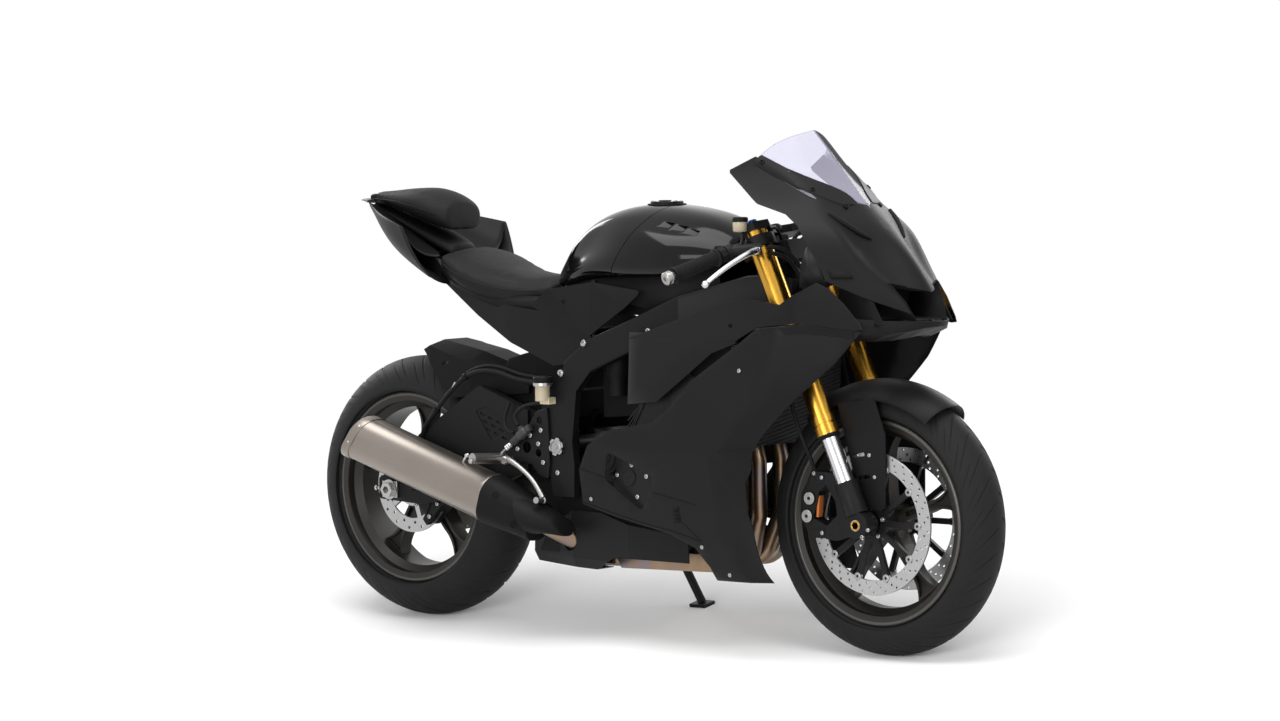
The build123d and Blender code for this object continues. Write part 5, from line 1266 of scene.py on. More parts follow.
# x, top z, half width and z of the shoulder, widest half width, base z and half width, hollow for the knee
TANK_SECTIONS = [
    (-221.5, 850, 30, 842, 56, 804, 48, 0.02), (-214, 862, 40, 852, 68, 802, 56, 0.03),
    (-188, 896, 60, 878, 88, 803, 74, 0.08), (-152, 930, 78, 906, 112, 807, 92, 0.14),
    (-104, 964, 90, 938, 134, 818, 108, 0.19), (-60, 984, 95, 956, 147, 828, 124, 0.17),
    (0, 998, 103, 970, 160, 832, 140, 0.11), (60, 1002, 106, 970, 164, 834, 148, 0.05),
    (120, 999, 105, 964, 163, 836, 150, 0.02), (180, 991, 102, 953, 160, 840, 148, 0.01),
    (230, 980, 98, 944, 148, 846, 134, 0.01), (270, 965, 90, 930, 130, 856, 114, 0.01),
    (300, 946, 80, 916, 108, 868, 94, 0.0), (312, 934, 70, 908, 98, 876, 86, 0.0),
    (315.5, 924, 60, 900, 90, 882, 76, 0.0),
]


class BuildTank(bpy.types.Operator):
    """Tank and front cover: shoulders, knee hollows, vents and the filler's dish"""
    bl_idname = "motorcycle.tank"
    bl_label = "Tank"

    def execute(self, context):
        rings = []
        for x, top, shoulder, crest, side, base, low, hollow in TANK_SECTIONS:
            fall = crest - base
            half = [(0, top), (0.52 * shoulder, top - 1.5), (0.88 * shoulder, crest + 0.42 * (top - crest)),
                    (shoulder * 1.06, crest - 1), (side * (0.93 - hollow), crest - 0.24 * fall),
                    (side * (1 - hollow), crest - 0.5 * fall), (side * 0.99, crest - 0.76 * fall),
                    (low, base + 4), (low * 0.9, base)]
            rings.append([Vector((x, -y, z)) for y, z in half] + [Vector((x, 0, base))]
                         + [Vector((x, y, z)) for y, z in half[:0:-1]])
        body = smoothed(capped_loft(rings), 2)
        seam_low, seam_high = Vector((-28, 0, 780)), Vector((148, 0, 1060))
        normal = Vector((seam_high.z - seam_low.z, 0, seam_low.x - seam_high.x)).normalized()
        rear = halved(body, seam_low - normal * 0.9, normal)
        front = halved(body, seam_low + normal * 0.9, -normal)
        dish = turned([(0.01, 0), (45, 0), (47, 60), (0.01, 60)], (FILLER_X, 0, 998.6), UP, 64)
        piece("tank_shell", rear, "tank_gloss", ["fuel_tank"], cutters=dish, sharp=32)
        vents = []
        for x, z in ((152, 956), (186, 950), (220, 942)):
            roll, lean = Matrix.Rotation(math.radians(46), 4, "X"), Matrix.Rotation(math.radians(27), 4, "Y")
            place = Matrix.Translation((x, -111, z)) @ roll @ lean
            vents.append(moved(slab(((-20, -9), (15, -9), (21, 9), (-14, 9)), -4.5, 4.5), place))
        piece("tank_cover_shell", front, "tank_gloss", ["airbox_cover"], cutters=both(joined(*vents)),
              sharp=32)
        ring = turned([(45.2, -1), (45.2, 1.5), (43, 2.4), (41, 1.6), (40.6, 0)], (FILLER_X, 0, 999), UP, 72)
        piece("filler_ring", ring, "trim_black")
        screws = [bolt((x, y, CAP_TOP), UP, 3.2, 2) for x, y in circle(33, (FILLER_X, 0), 6, math.radians(30))]
        piece("cap_screws", joined(*screws), "bolt_steel", body="fuel_lid")
        flap = slab(((47, -13), (65, -13), (67, 0), (65, 13), (47, 13), (45, 0)), 1006, 1009)
        piece("cap_lock_flap", flap, "trim_black", body="fuel_lid", bevel=1.0)
        return {"FINISHED"}


# left half of the tail, rows from front to rear: its outer skin from the bottom up, then the bowl to the spine
TAIL_OUTER = [
    [(-530, 147, 816), (-549, 165, 843), (-566, 179, 873), (-586, 187, 918), (-604, 190, 961)],
    [(-592, 152, 853), (-610, 164, 880), (-628, 171, 910), (-640, 172, 942), (-650, 168, 969)],
    [(-660, 132, 883), (-674, 141, 905), (-688, 146, 930), (-694, 147, 955), (-700, 143, 977)],
    [(-730, 100, 917), (-738, 108, 936), (-744, 112, 953), (-748, 113, 969), (-752, 109, 985)],
    [(-790, 68, 960), (-792, 72, 969), (-794, 74, 978), (-795, 76, 985), (-796, 76, 993)],
    [(-820, 54, 984), (-821, 57, 989), (-822, 59, 994), (-822, 60, 998), (-823, 61, 1003)],
]
TAIL_BOWL = [
    [(-604, 190, 961), (-597, 178, 930), (-588, 158, 896), (-578, 120, 874), (-570, 62, 872)],
    [(-650, 168, 969), (-648, 152, 940), (-643, 128, 916), (-638, 98, 904), (-632, 62, 903)],
    [(-700, 143, 977), (-699, 128, 957), (-696, 107, 940), (-692, 84, 932), (-688, 58, 931)],
    [(-752, 109, 985), (-751, 98, 973), (-749, 83, 963), (-746, 67, 958), (-742, 50, 957)],
    [(-796, 76, 993), (-795, 68, 987), (-794, 59, 982), (-792, 49, 980), (-790, 38, 980)],
    [(-823, 61, 1003), (-822, 54, 999), (-822, 46, 996), (-822, 38, 995), (-822, 30, 995)],
]


class BuildTail(bpy.types.Operator):
    """Tail: outer skins, bowls beside the spine, spine, under-tray, and a tip in painted highlight"""
    bl_idname = "motorcycle.tail"
    bl_label = "Tail"

    def execute(self, context):
        wing = [[Vector((x, -y, z)) for x, y, z in low + high[1:]] for low, high in zip(TAIL_OUTER, TAIL_BOWL)]
        piece("tail_wings", both(grid(wing)), "fairing_matte", ["tail_cowl"], subdivide=2, thick=3.0)
        spine = []
        for x, half, low, high in ((-562, 42, 870, 900), (-574, 50, 874, 908), (-640, 54, 900, 938),
                                   (-740, 46, 950, 970), (-800, 34, 974, 986), (-846, 22, 989, 997),
                                   (-850, 18, 990, 997)):
            side = [(x, -half, low), (x, -half, (low + high) / 2), (x, -half * 0.7, high)]
            spine.append(hoop(side, [(x, 0, high + 4)]) + [(x, 0, low - 2)])
        piece("tail_spine", capped_loft(spine), "trim_black", subdivide=2)
        tray = []
        for (x, y, z), drop in zip((row[0] for row in TAIL_OUTER), (6, 14, 18, 14, 8, 3)):
            tray.append(hoop([(x, 3 - y, z + 2), (x + 4, -0.72 * y, z - drop),
                              (x + 6, -0.3 * y, z - drop * 1.25)]))
        piece("tail_tray", grid(tray), "trim_black", subdivide=2, thick=2.5)
        # x of each hoop, half widths and heights from its lower corner up, then its middle above and below
        hoops = ((-826, ((62, 1000), (62, 1006), (40, 1009)), 1010, 996),
                 (-850, ((50, 1004), (50, 1008), (34, 1010)), 1011, 1001),
                 (-864, ((44, 1005), (44, 1007), (30, 1009)), 1009, 1003))
        tip = [hoop([(x, -y, z) for y, z in half], [(x, 0, high)]) + [(x, 0, low)]
               for x, half, high, low in hoops]
        # painted highlight: the tip is given the light grey of a highlight
        piece("tail_tip", capped_loft(tip), "rim_edge", bevel=1.5)
        return {"FINISHED"}


# outline of the nose from the side: lower and rear edges, then the seam under the screen
NOSE_OUTLINE = [
    (880, 746), (834, 748), (817, 757), (740, 795), (657, 841), (627, 892), (573, 959), (534, 984),
    (450, 1010), (382, 1034), (367, 1082), (421, 1111), (640, 1000), (690, 952), (720, 936), (880, 820),
]
# half of each level of the nose, from its middle to its rear edge: z, then x and y of its points
NOSE_LEVELS = [
    (740, (826, 0), (825, 22), (820, 44), (812, 57), (802, 64), (770, 98), (735, 140), (650, 202)),
    (779, (820, 0), (817, 24), (809, 50), (796, 69), (786, 78), (752, 115), (712, 160), (646, 206)),
    (813, (812, 0), (803, 24), (786, 54), (777, 74), (771, 90), (737, 126), (695, 168), (642, 206)),
    (832, (801, 0), (790, 24), (764, 50), (756, 72), (763, 93), (730, 126), (688, 168), (640, 204)),
    (863, (778, 0), (770, 24), (738, 50), (720, 80), (728, 114), (700, 142), (664, 175), (620, 199)),
    (900, (747, 0), (740, 26), (706, 54), (684, 92), (698, 129), (670, 154), (638, 178), (596, 196)),
    (938, (708, 0), (702, 30), (682, 62), (660, 104), (668, 138), (640, 158), (610, 174), (568, 190)),
    (968, (676, 0), (670, 36), (652, 74), (634, 108), (632, 137), (606, 154), (576, 168), (538, 182)),
    (1000, (640, 0), (634, 34), (618, 68), (603, 98), (590, 122), (552, 142), (510, 158), (466, 174)),
    (1040, (604, 0), (598, 32), (582, 64), (566, 94), (546, 118), (508, 136), (468, 150), (416, 163)),
    (1082, (567, 0), (560, 30), (543, 60), (524, 90), (500, 114), (464, 128), (420, 140), (358, 152)),
    (1112, (545, 0), (538, 28), (520, 56), (500, 86), (478, 109), (440, 122), (396, 135), (332, 146)),
]


def frame_shape(node):
    """Shape of a frame piece in upright millimetres."""
    points, faces = shape_of(NODES[node].data)
    return [UPRIGHT @ point for point in points], faces


class BuildNose(bpy.types.Operator):
    """Nose with its beak, hollows and brows, painted shade sheets in its intake and inside it, and the chin"""
    bl_idname = "motorcycle.nose"
    bl_label = "Nose"

    def execute(self, context):
        rows = [hoop([(x, -y, z) for x, y in half[::-1]], [(beak, 0, z)])
                for z, (beak, _), *half in NOSE_LEVELS]
        skin = smoothed(grid(rows), 2, 4.0)
        skin = cut(skin, prism(NOSE_OUTLINE, -CUT_REACH, CUT_REACH), "INTERSECT")
        mouth = [(0, 811), (-45, 822), (-89, 833), (-60, 752), (60, 752), (89, 833), (45, 822)]
        hole = capped_loft([[(x, y, z) for y, z in mouth] for x in (690, 900)])
        piece("nose_shell", skin, "fairing_matte", ["nose_cowl"], cutters=hole, sharp=34)
        # painted shade: dark sheets lining the intake's hollow
        front = hoop([(808, -57, 750), (790, -71, 790), (760, -90, 834)], [(796, 0, 814)])
        rear = hoop([(700, -48, 756), (700, -62, 790), (700, -80, 830)], [(700, 0, 812)])
        back = [[(701, -84, 752), (701, 84, 752)], [(701, -90, 834), (701, 90, 834)]]
        piece("intake_shade", joined(grid([front, rear], round_columns=True), grid(back)), "gap_black",
              thick=1.5)
        duct = capped_loft([[(x, y * w, z + h * v) for y, v in ((-1, -0.7), (-0.7, -1), (0.7, -1), (1, -0.7),
                                                                (1, 0.7), (0.7, 1), (-0.7, 1), (-1, 0.7))]
                            for x, w, z, h in ((700, 72, 793, 30), (664, 56, 797, 28), (632, 40, 800, 24))])
        piece("air_duct", duct, "trim_black", bevel=3)
        # painted shade: dark sheets laid inside the nose, where gaps look into it
        shade = laid("nose_cowl", [(470, 0, 1048), (565, 0, 1000), (645, 0, 915), (710, 0, 850)],
                     [(445, 0, 1028), (545, 0, 994), (612, 0, 930), (672, 0, 850)], LEFT, -6.0, 2)
        piece("nose_inner_shade", both(shade), "gap_black", thick=1.6)
        inset = grid([[(608, -178, 916), (630, -182, 888), (664, -189, 824)],
                      [(594, -172, 910), (580, -172, 874), (580, -177, 824)]])
        piece("nose_insets", both(inset), "fairing_matte", thick=2.0)
        blade = grid([[(833, 0, 747), (824, -40, 748), (808, -66, 749), (772, -104, 751), (738, -140, 754),
                       (700, -168, 758)],
                      [(828, 0, 736), (818, -40, 734), (799, -70, 728), (764, -106, 722), (728, -140, 720),
                       (690, -164, 724)],
                      [(786, 0, 718), (776, -36, 712), (748, -66, 706), (716, -92, 704), (676, -120, 706),
                       (640, -140, 716)]])
        keep = [(40, 650), (640, 650), (702, 712), (750, 733), (744, 748), (712, 792), (655, 850), (40, 860)]
        panels = cut(frame_shape("upper_panels"), prism(keep, -CUT_REACH, CUT_REACH), "INTERSECT")
        # painted shade: dark plates behind the nose's sides
        shade_sheet = prism([(640, 742), (772, 744), (744, 792), (655, 832)], -130, -127)
        piece("nose_liners", both(shade_sheet), "gap_black")
        piece("upper_panels_trimmed", panels, "fairing_gloss", ["upper_panels"], bevel=1.2)
        piece("chin_blade", both(blade), "trim_black", ["chin_panel"], thick=3.0)
        return {"FINISHED"}


class BuildCockpit(bpy.types.Operator):
    """Wires and hoses round the steering head, and the switch on its top clamp"""
    bl_idname = "motorcycle.cockpit"
    bl_label = "Cockpit"

    def execute(self, context):
        top = STEER_FOOT + steer_rise(CLAMP_Z)
        barrel = turned([(0.01, 9.5), (24, 9.5), (26, 12), (26, 24), (21, 30), (15, 31), (15, 28), (0.01, 28)],
                        top, STEER_UP, 40)
        piece("key_barrel", barrel, "trim_black", body="steering", sharp=40)
        runs = []
        for side in (-1, 1):
            for lift, reach, radius in ((6, 30, 4.0), (20, 46, 3.2), (-12, 18, 5.0)):
                start = top + Vector((16, side * 128, -34 + lift))
                runs.append(tube([start, start + Vector((26, -side * 30, 26)),
                                  top + Vector((reach, side * 52, 6 + lift)),
                                  top + Vector((reach * 0.7, side * 10, -46 + lift)),
                                  top + Vector((reach * 0.5, 0, -92))], radius, 10, 6))
        piece("cockpit_hoses", joined(*runs), "grip_rubber", body="steering")
        lump = capped_loft([[top + a * STEER_AHEAD + Vector((0, b, 0)) + h * STEER_UP
                             for a, b in ((34, -52), (58, -40), (58, 40), (34, 52))] for h in (-74, -22)])
        piece("steering_block", lump, "trim_black", body="steering", bevel=4)
        # painted shade: thin dark strips under the tank's edges
        shade_skirts = []
        for side in (-1, 1):
            rows = [[(x, side * (half - 4), low - drop), (x, side * half, low + 6)] for x, half, low, drop in (
                (-214, 60, 806, 26), (-150, 92, 808, 30), (-60, 118, 826, 34), (60, 128, 832, 60),
                (180, 130, 838, 90), (290, 96, 866, 110))]
            shade_skirts.append(grid(rows))
        piece("tank_skirts", joined(*shade_skirts), "gap_black", thick=2)
        seat_sides = []
        for x, half, low, high in ((-190, 104, 738, 786), (-260, 108, 740, 786), (-330, 114, 750, 784),
                                   (-420, 118, 776, 798), (-500, 116, 806, 826), (-548, 104, 832, 858)):
            seat_sides.append([(x, -half, low), (x, -half - 4, (low + high) / 2), (x, -half, high)])
        piece("seat_sides", both(grid(seat_sides)), "trim_black", thick=2.5)
        return {"FINISHED"}


class BuildCore(bpy.types.Operator):
    """Dark parts seen through the gaps of the bodywork: throttle bodies and sump, and blocks and sheets in painted
    shade for the airbox base, shock tower, sides and linkage
    """
    bl_idname = "motorcycle.core"
    bl_label = "Engine surroundings"

    def execute(self, context):
        # how far ahead each ring lies, its height and radius
        throat = ((0, 560, 24), (0, 600, 24), (0, 612, 28), (10, 715, 30))
        bodies = [capped_loft([circle_at((x + ahead, y, z), radius, 20) for ahead, z, radius in throat])
                  for x in (-20, 60) for y in (-84, -28, 28, 84)]
        piece("throttle_bodies", joined(*bodies), "trim_black", sharp=40)
        # painted shade: the airbox base, shock tower, side sheets and linkage block are dark fillers
        rail = prism([(-80, 505), (120, 520), (122, 700), (-78, 690)], -70, 70)
        piece("airbox_base", rail, "gap_black", bevel=4)
        tower = prism([(-410, 548), (-398, 522), (-300, 502), (-170, 502), (-120, 600), (-120, 668),
                       (-190, 680), (-370, 636)], -72, 72)
        piece("shock_tower", tower, "gap_black", bevel=5)
        shade_sheet = prism([(126, 560), (380, 590), (384, 740), (200, 712), (126, 690)], -152, -148)
        piece("side_liners", both(shade_sheet), "gap_black")
        sump = prism([(-250, 188), (-190, 300), (-150, 345), (-60, 352), (60, 330), (60, 236), (-100, 188)],
                     -112, 112)
        piece("sump", sump, "trim_black", bevel=6)
        linkage = prism([(-300, 240), (-300, 372), (-240, 432), (-100, 432), (-96, 240)], -66, 66)
        piece("linkage_block", linkage, "gap_black", bevel=8)
        return {"FINISHED"}


class BuildScreen(bpy.types.Operator):
    """Screen's border strips, bolts and the plates at its foot"""
    bl_idname = "motorcycle.screen"
    bl_label = "Screen trim"

    def execute(self, context):
        seam = [(422, 1098), (500, 1059), (580, 1018), (620, 997)]
        inner = [(434, 1113), (514, 1076), (592, 1035), (632, 1001)]
        rows = []
        for low, high in zip(*[smooth_line([(x, z, 0) for x, z in line], 5) for line in (seam, inner)]):
            near, out = self.on_screen(low[0], low[1] + 3)
            far, _ = self.on_screen(high[0], high[1])
            middle, _ = self.on_screen((low[0] + high[0]) / 2, (low[1] + high[1]) / 2 + 1.5)
            rows.append([near + Vector((0, -2, -21)) + out * 3.4, near + out * 3.2, middle + out * 3.2,
                         far + out * 2.4, far + (far - near).normalized() * 2 + out * 0.2])
        bolts = []
        for x, z in ((441, 1098), (560, 1036), (622, 998)):
            hit, normal = self.on_screen(x, z)
            bolts.append(bolt(hit + normal * 2.4, normal, 6.4, 3.6))
        piece("screen_strips", both(grid(rows)), "fairing_matte", thick=2.0)
        piece("screen_bolts", both(joined(*bolts)), "trim_black")
        line = []
        for x, y, z in ((610, -112, 983), (640, -100, 966), (676, -84, 950), (700, -66, 938)):
            hit, normal = surface("nose_cowl", (x + 120, y - 60, z + 120), (-120, 60, -120))
            line.append(hit + normal * 2)
        piece("screen_foot_plates", both(tube(line, [4.5, 7.0, 6.0, 3.0], 12, 8)), "trim_black")
        return {"FINISHED"}

    @staticmethod
    def on_screen(x, z):
        return surface("windscreen", (x, -400, z), LEFT)


class BuildExhaust(bpy.types.Operator):
    """Rivets, bolts, hanger and rings of the silencer"""
    bl_idname = "motorcycle.exhaust"
    bl_label = "Exhaust fittings"

    def execute(self, context):
        rivets = []
        for x, z in ((-689, 474), (-719, 436), (-744, 402)):
            hit, normal = on_right("silencer", x, z)
            rivets.append(turned([(3.6, -0.5), (3.4, 0.9), (2.2, 1.7), (0.01, 1.9)], hit, normal, 16))
        piece("silencer_rivets", joined(*rivets), "bolt_steel")
        heads = []
        for x, z in ((-262, 330), (-222, 262)):
            hit, normal = on_right("silencer_cover", x, z)
            heads.append(turned([(9, -3), (9, 0.8), (7.6, 1.2), (6.6, -1.2), (0.01, -1.2)], hit, normal, 32))
            heads.append(bolt(hit - normal * 1.2, normal, 5.2, 2.6))
        piece("cover_bolts", joined(*heads), "trim_black")
        rings = []
        for x, y, z, wide, tall in ((-205, -199, 286, 46, 46), (-180, -196, 282, 46, 40),
                                    (-150, -186, 272, 40, 32), (-126, -174, 262, 33, 26),
                                    (-118, -168, 258, 29, 22)):
            rings.append([(x - 0.45 * tall * up, y + wide * across, z + tall * up)
                          for across, up in circle(1, steps=24)])
        piece("cover_nose", capped_loft(rings), "trim_black", sharp=40)
        hanger = tube([(-378, -215, 414), (-392, -214, 395), (-405, -212, 376)], 3.2, 12, 5)
        ends = [turned([(0.01, -6), (4, -4.6), (6, 0), (4, 4.6), (0.01, 6)], at, RIGHT, 20)
                for at in ((-405, -212, 375), (-376, -215, 415))]
        piece("silencer_hanger", joined(hanger, *ends), "lever_alloy")
        mouth = turned([(29.6, 0), (29.6, -60), (27, -60), (27, 2), (31, 3.5), (33, 1)],
                       SILENCER_START + MOUTH_WAY * MOUTH_REACH, MOUTH_WAY, 48)
        piece("silencer_mouth_ring", mouth, "bolt_steel")
        return {"FINISHED"}


class BuildSwingarmFittings(bpy.types.Operator):
    """Axle blocks, nuts, adjusters and the hoses over the swingarm"""
    bl_idname = "motorcycle.swingarm_fittings"
    bl_label = "Swingarm fittings"

    def execute(self, context):
        x, z = REAR_AXLE.x, REAR_AXLE.z
        plates = prism([(x - 24, z - 20), (x + 24, z - 20), (x + 24, z + 20), (x - 24, z + 20)], -149, -142.2)
        lines = [prism([(x + a, z - 16), (x + a + 1.4, z - 16), (x + a + 1.4, z - 8), (x + a, z - 8)],
                       -149.4, -148.6) for a in (-12, -6, 0, 6, 12)]
        nut = hex_nut((x, -149, z), RIGHT, 19, 14, 9)
        adjuster = turned([(4, 0), (4, 34), (6.5, 34), (6.5, 40), (0.01, 40)],
                          (x - 22, -130, z), (-1, 0, 0), 6)
        piece("axle_blocks", both(plates), "alloy_silver", bevel=1.4)
        piece("axle_marks", both(joined(*lines)), "trim_black")
        piece("axle_nuts", both(nut), "bolt_steel", sharp=30)
        piece("chain_adjusters", both(adjuster), "bolt_steel")
        # eight steps to a tooth of the castle nut
        crests, hollows = (circle(radius, (PIVOT.x, PIVOT.z), 48) for radius in (21, 17.5))
        teeth = [crests[step] if step % 8 < 5 else hollows[step] for step in range(48)]
        castle = prism(teeth, -162, -152.3)
        cover = turned([(16.2, 0), (16.2, 1.6), (13, 2.6), (12.2, 0.6), (6, 0.6), (5.4, 2), (0.01, 2)],
                       (PIVOT.x, -162, PIVOT.z), RIGHT, 48)
        piece("pivot_castle_nut", both(castle), "bolt_steel", bevel=0.8)
        piece("pivot_cover", both(cover), "alloy_silver")
        loop = [(-610, -128, 390), (-575, -146, 462), (-531, -148, 511), (-500, -147, 545), (-471, -146, 570),
                (-439, -146, 594), (-396, -140, 608), (-349, -134, 606), (-300, -126, 592), (-256, -122, 586),
                (-205, -122, 580)]
        second = [(a + 4, b + 9, c + 11) for a, b, c in loop]
        piece("arm_hoses", joined(tube(loop, 5.6, 14, 6), tube(second, 4.2, 12, 6)), "grip_rubber")
        clips = [turned([(7.4, -4), (8.6, -4), (8.6, 4), (7.4, 4), (7.4, -4)], at, Vector(b) - Vector(a), 20)
                 for at, a, b in ((loop[2], loop[1], loop[3]), (loop[5], loop[4], loop[6]))]
        piece("hose_clips", joined(*clips), "trim_black")
        tab = tube([(-478, -148, 566), (-470, -147, 580)], 3.4, 10, 3)
        piece("hose_guide", tab, "bolt_steel")
        return {"FINISHED"}


class BuildFootrests(bpy.types.Operator):
    """Knurled pegs, pedals, rear master cylinder and heel guards"""
    bl_idname = "motorcycle.footrests"
    bl_label = "Footrest fittings"

    def execute(self, context):
        start, end = Vector((-306, -170, 408)), Vector((-318, -262, 414))
        rows = []
        steps, sides = 34, 28
        way = (end - start).normalized()
        side = way.cross(Vector(UP)).normalized()
        over = side.cross(way)
        for ring in range(steps + 1):
            at = start.lerp(end, ring / steps)
            row = []
            for k in range(sides):
                angle = 2 * math.pi * k / sides
                radius = 12.2 + (0.9 if (k + ring) % 2 else -0.5) * (3 < ring < steps - 1)
                row.append(at + radius * (math.cos(angle) * side + math.sin(angle) * over))
            rows.append(row)
        peg = capped_loft(rows)
        ball = turned([(0.01, -7), (5, -5), (7, 0), (5, 5), (0.01, 7)], end + Vector((0, -4, -6)), UP, 20)
        piece("pegs_knurled", both(joined(peg, ball)), "alloy_silver", sharp=20)
        edge = [(-172, 470), (-170, 400), (-176, 366), (-204, 374), (-222, 396), (-250, 402), (-290, 392),
                (-318, 396), (-324, 416), (-300, 438), (-262, 470), (-232, 490), (-206, 522), (-176, 530)]
        holes = [circle(13, (-240, 436), 24), circle(8, (-200, 500), 20), circle(9, (-204, 424), 20)]
        hangers = plate([edge[::-1], *holes], -156, 7, 1.2)
        piece("footrest_hangers", both(hangers), "cast_black", ["footrests"])
        mounts = [turned([(11, 0), (11, 17), (9, 19), (0.01, 19)], (-306, -153, 408), RIGHT, 24),
                  turned([(10, 0), (10, 30), (8, 32), (4, 32), (4, 30), (0.01, 30)],
                         (-288, -155, 405), RIGHT, 24)]
        piece("footrest_mounts", both(joined(*mounts)), "alloy_silver", sharp=35)
        rim = (-174, -174, 590)
        lid = turned([(0.01, 0), (22.5, 0), (23, 1.5), (23, 12), (21.5, 14), (12, 14), (11, 15.5),
                      (0.01, 15.5)], rim, UP, 40)
        clamp = turned([(20.6, -6), (23.6, -6), (23.6, 0), (20.6, 0)], rim, UP, 40)
        piece("reservoir_lid", lid, "trim_black", sharp=35)
        piece("reservoir_clamp", clamp, "bolt_steel", sharp=35)
        pedal = tube([(-288, -176, 408), (-268, -182, 404), (-240, -186, 392), (-208, -188, 372),
                      (-184, -190, 350), (-164, -192, 324)], [9, 8, 6.5, 6, 6, 7], 14, 6)
        toe = turned([(7.5, 0), (7.5, 4), (6, 5), (6, 27), (7.5, 28), (7.5, 32), (0.01, 32)],
                     (-162, -190, 318), (0.1, -1, 0.1), 16)
        piece("pedal_arms", both(joined(pedal, toe)), "alloy_silver", sharp=50)
        cylinder = turned([(0.01, 0), (8, 0), (9.5, 2), (9.5, 26), (12, 28), (12, 52), (9, 55), (9, 66),
                           (6, 68), (0.01, 68)], (-272, -172, 446), (67, 0, 48), 28)
        rod_way = (34, 0, 26)
        rod_end = turned([(3.2, 0), (3.2, 46), (0.01, 46)], (-306, -172, 420), rod_way, 12)
        boot = turned([(7, 0), (8.5, 3), (6.5, 6), (8, 9), (6, 12), (7.2, 15), (5, 18), (0.01, 18)],
                      (-290, -172, 432), rod_way, 20)
        banjo = turned([(8.5, -6), (8.5, 6), (5.5, 7.5), (5.5, 10), (0.01, 10)],
                       (-242, -172, 478), (-0.5, -0.4, 0.8), 16)
        piece("rear_master_cylinder", joined(cylinder, banjo), "engine_grey", sharp=40)
        piece("master_rod", joined(rod_end, boot), "bolt_steel")
        hose = tube([(-250, -176, 488), (-262, -174, 510), (-240, -166, 532), (-205, -158, 540),
                     (-178, -162, 546)], 4.2, 12, 6)
        pipe = tube([(-264, -176, 470), (-292, -168, 476), (-306, -160, 500), (-296, -152, 540)], 4.0, 12, 6)
        piece("master_hoses", joined(hose, pipe), "grip_rubber")
        heads = [bolt((px, -160.6, pz), RIGHT, 6.2, 4.5) for px, pz in ((-192, 478), (-186, 403), (-225, 465),
                                                                        (-200, 446), (-264, 432))]
        piece("footrest_bolts", both(joined(*heads[:3])), "bolt_steel")
        piece("footrest_small_bolts", both(joined(*heads[3:])), "bolt_steel")
        return {"FINISHED"}


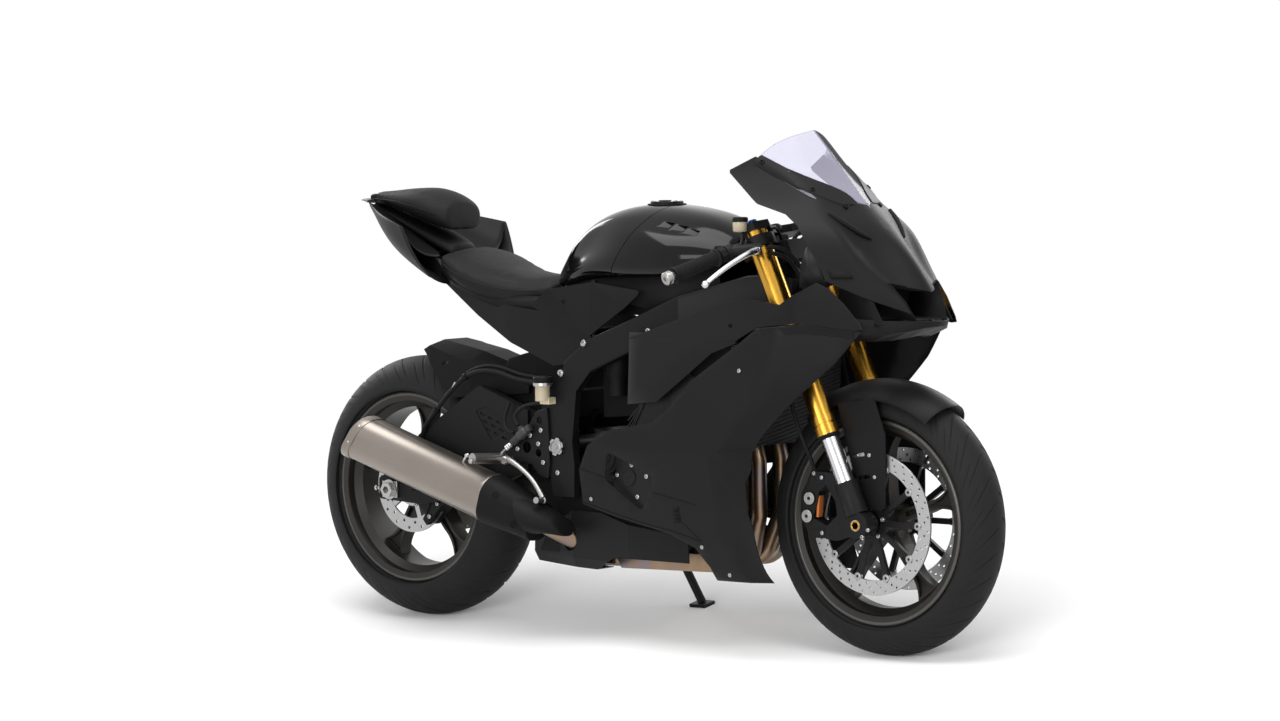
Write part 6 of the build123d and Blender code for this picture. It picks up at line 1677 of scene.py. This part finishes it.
class BuildFasteners(bpy.types.Operator):
    """Bolts of the frame, fairings, fender and engine covers"""
    bl_idname = "motorcycle.fasteners"
    bl_label = "Fasteners"

    def execute(self, context):
        # node, body, radius, places as x and z
        table = [
            ("main_frame", "chassis", 9.0, ((-65, 683), (-136, 612))),
            ("main_frame", "chassis", 6.5, ((120, 716), (-150, 380))),
            ("side_panels", "chassis", 5.0, ((-6, 331), (308, 237), (377, 177), (452, 640))),
            ("engine_covers", "chassis", 5.6, ((108, 413), (65, 388), (151, 389), (88, 352), (124, 341))),
            ("front_fender", "steering", 4.8, ((691, 452), (705, 404))),
            ("upper_panels", "chassis", 5.0, ((412, 738),)),
            ("tank_side_covers", "chassis", 4.6, ((-125, 779),)),
        ]
        for number, (node, body, radius, places) in enumerate(table):
            shapes = []
            for x, z in places:
                hit, normal = on_right(node, x, z)
                shapes.append(bolt(hit, normal, radius, radius * 0.62))
            shape = joined(*shapes)
            if node != "engine_covers":
                shape = both(shape)
            dark = node in ("upper_panels", "tank_side_covers")
            piece(f"bolts_{number}_{node}", shape, "trim_black" if dark else "bolt_steel", body=body)
        self.engine()
        self.panels()
        return {"FINISHED"}

    def engine(self):
        clutch = Vector((-2, -160, 425))
        hit, normal = on_right("engine_covers", 96, 382)
        cap = turned([(20, -1), (20, 2.2), (18.5, 3), (17.6, 1.4), (16, 1.4), (0.01, 1.4)],
                     (98, hit.y, 384), normal, 48)
        slot = prism([(88, 381.5), (108, 385.5), (107.6, 388), (87.6, 384)], hit.y - 2.6, hit.y - 1.2)
        piece("engine_round_cap", joined(cap, slot), "engine_metal", bevel=0.5)
        ribs = [turned([(radius, -0.5), (radius, 1.4), (radius + 2, 1.4), (radius + 2, -0.5)],
                       clutch, RIGHT, 64) for radius in (14, 30)]
        heads = [bolt((x, -146.2, z), RIGHT, 4.4, 4)
                 for x, z in circle(48, (clutch.x, clutch.z), 8, math.radians(20))]
        piece("clutch_cover_ribs", joined(*ribs), "engine_metal")
        piece("clutch_cover_bolts", joined(*heads), "engine_grey")
        fins = [prism([(70, 470 + 14 * i), (168, 640 - 10 * i), (170, 637 - 10 * i), (72, 467 + 14 * i)],
                      -163, -160) for i in range(4)]
        piece("cylinder_ribs", both(joined(*fins)), "engine_metal", bevel=0.6)

    def panels(self):
        """Blade edge along the top of the side panel, pressed lines and the vent."""
        edge_rows = []
        for x, z in ((496, 733), (560, 737), (600, 745), (650, 738), (700, 734), (716, 729)):
            hit, normal = on_right("side_panels", x, z - 6)
            edge_rows.append([hit + Vector((0, y, z))
                              for y, z in ((-0.6, -12), (-3.2, 0), (-5.5, 7), (-2.0, 9))])
        piece("side_panel_lips", both(grid(edge_rows)), "fairing_matte", subdivide=2, thick=2.0)
        lines = []
        for path in (((-24, 397), (14, 388), (46, 380)), ((183, 352), (240, 342), (305, 330)),
                     ((-34, 318), (68, 293), (160, 275), (229, 264), (306, 246)),
                     ((258, 288), (282, 268), (308, 246))):
            line = []
            for x, z in path:
                hit, normal = on_right("side_panels", x, z + 3)
                line.append(hit + normal * 0.2)
            lines.append(tube(line, 1.5, 8, 8))
        piece("side_panel_lines", both(joined(*lines)), "trim_black")
        frame_line, slats = [], []
        corners = [(236, 325), (258, 327), (257, 289), (235, 287)]
        for x, z in corners:
            hit, normal = on_right("side_panels", x, z)
            frame_line.append(hit + normal * 0.3)
        # painted shade: a dark sheet behind the slats stands for the vent's hollow
        piece("vent_shade", both(grid([[frame_line[0], frame_line[1]], [frame_line[3], frame_line[2]]])),
              "gap_black", thick=0.8)
        for step in range(4):
            z = 293 + 9 * step
            a, normal = on_right("side_panels", 238, z - 3)
            b, _ = on_right("side_panels", 255, z + 4)
            slats.append(tube([a + normal * 1.0, b + normal * 1.0], 1.7, 8, 2))
        piece("vent_slats", both(joined(*slats)), "trim_black")


class BuildStand(bpy.types.Operator):
    """Bolt of the side stand"""
    bl_idname = "motorcycle.stand"
    bl_label = "Stand fittings"

    def execute(self, context):
        low, high = upright_box("stand_bracket")
        middle = (low + high) / 2
        head = bolt((middle.x, high.y - 2, low.z + 16), (0, 1, 0.1), 8, 5)
        piece("stand_bolt", head, "bolt_steel")
        return {"FINISHED"}


class BuildDash(bpy.types.Operator):
    """Dial, display and needle of the instrument panel"""
    bl_idname = "motorcycle.dash"
    bl_label = "Instruments"

    def execute(self, context):
        out = Vector((-0.83, 0, 0.56))
        centre = Vector((546, 0, 992)) + out.normalized() * 26.2
        dial_at, display_at = centre + Vector((0, 30, 0)), centre + Vector((0, -32, 0))
        dial = turned([(32, 0), (32, 2.4), (30, 3.2), (28.5, 1.2), (0.01, 1.2)], dial_at, out, 64)
        glass = moved(block(22, 26, 0, 1.6), facing(display_at, out))
        needle = moved(slab(((-1, 0), (1, 0), (0.4, 24), (-0.4, 24)), 1.6, 2.4), facing(dial_at, out))
        piece("dash_dial", dial, "trim_black")
        piece("dash_display", glass, "display_dark", bevel=0.6)
        piece("dash_needle", needle, "switch_red")
        return {"FINISHED"}


# in the order that they run
BUILDERS = (
    BuildStage, FinishNodes, BuildTyres, BuildBrakes, BuildWheelFittings, BuildFork, BuildControls, BuildChain,
    BuildSeats, BuildTank, BuildTail, BuildNose, BuildCockpit, BuildCore, BuildScreen, BuildExhaust,
    BuildSwingarmFittings, BuildFootrests, BuildFasteners, BuildStand, BuildDash,
)


class MotorcyclePanel(bpy.types.Panel):
    """Buttons that build the machine"""
    bl_idname = "VIEW3D_PT_motorcycle"
    bl_label = "Motorcycle"
    bl_space_type = "VIEW_3D"
    bl_region_type = "UI"
    bl_category = "Motorcycle"

    def draw(self, context):
        for builder in BUILDERS:
            self.layout.operator(builder.bl_idname, text=builder.bl_label)
        for group in SETTINGS:
            settings = getattr(context.scene, group)
            for name in settings.bl_rna.properties.keys():
                if name not in ("rna_type", "name"):
                    self.layout.prop(settings, name)


SETTINGS = {
    "motorcycle_stage": StageSettings,
    "motorcycle_wheels": WheelSettings,
    "motorcycle_seats": SeatSettings,
}
CLASSES = (*SETTINGS.values(), *BUILDERS, MotorcyclePanel)


def register():
    for each in CLASSES:
        bpy.utils.register_class(each)
    for name, group in SETTINGS.items():
        setattr(bpy.types.Scene, name, bpy.props.PointerProperty(type=group))


def unregister():
    for name in SETTINGS:
        delattr(bpy.types.Scene, name)
    for each in reversed(CLASSES):
        bpy.utils.unregister_class(each)


def main():
    register()
    for builder in BUILDERS:
        name = builder.bl_idname.partition(".")[2]
        getattr(bpy.ops.motorcycle, name)()


if __name__ == "__main__":
    main()
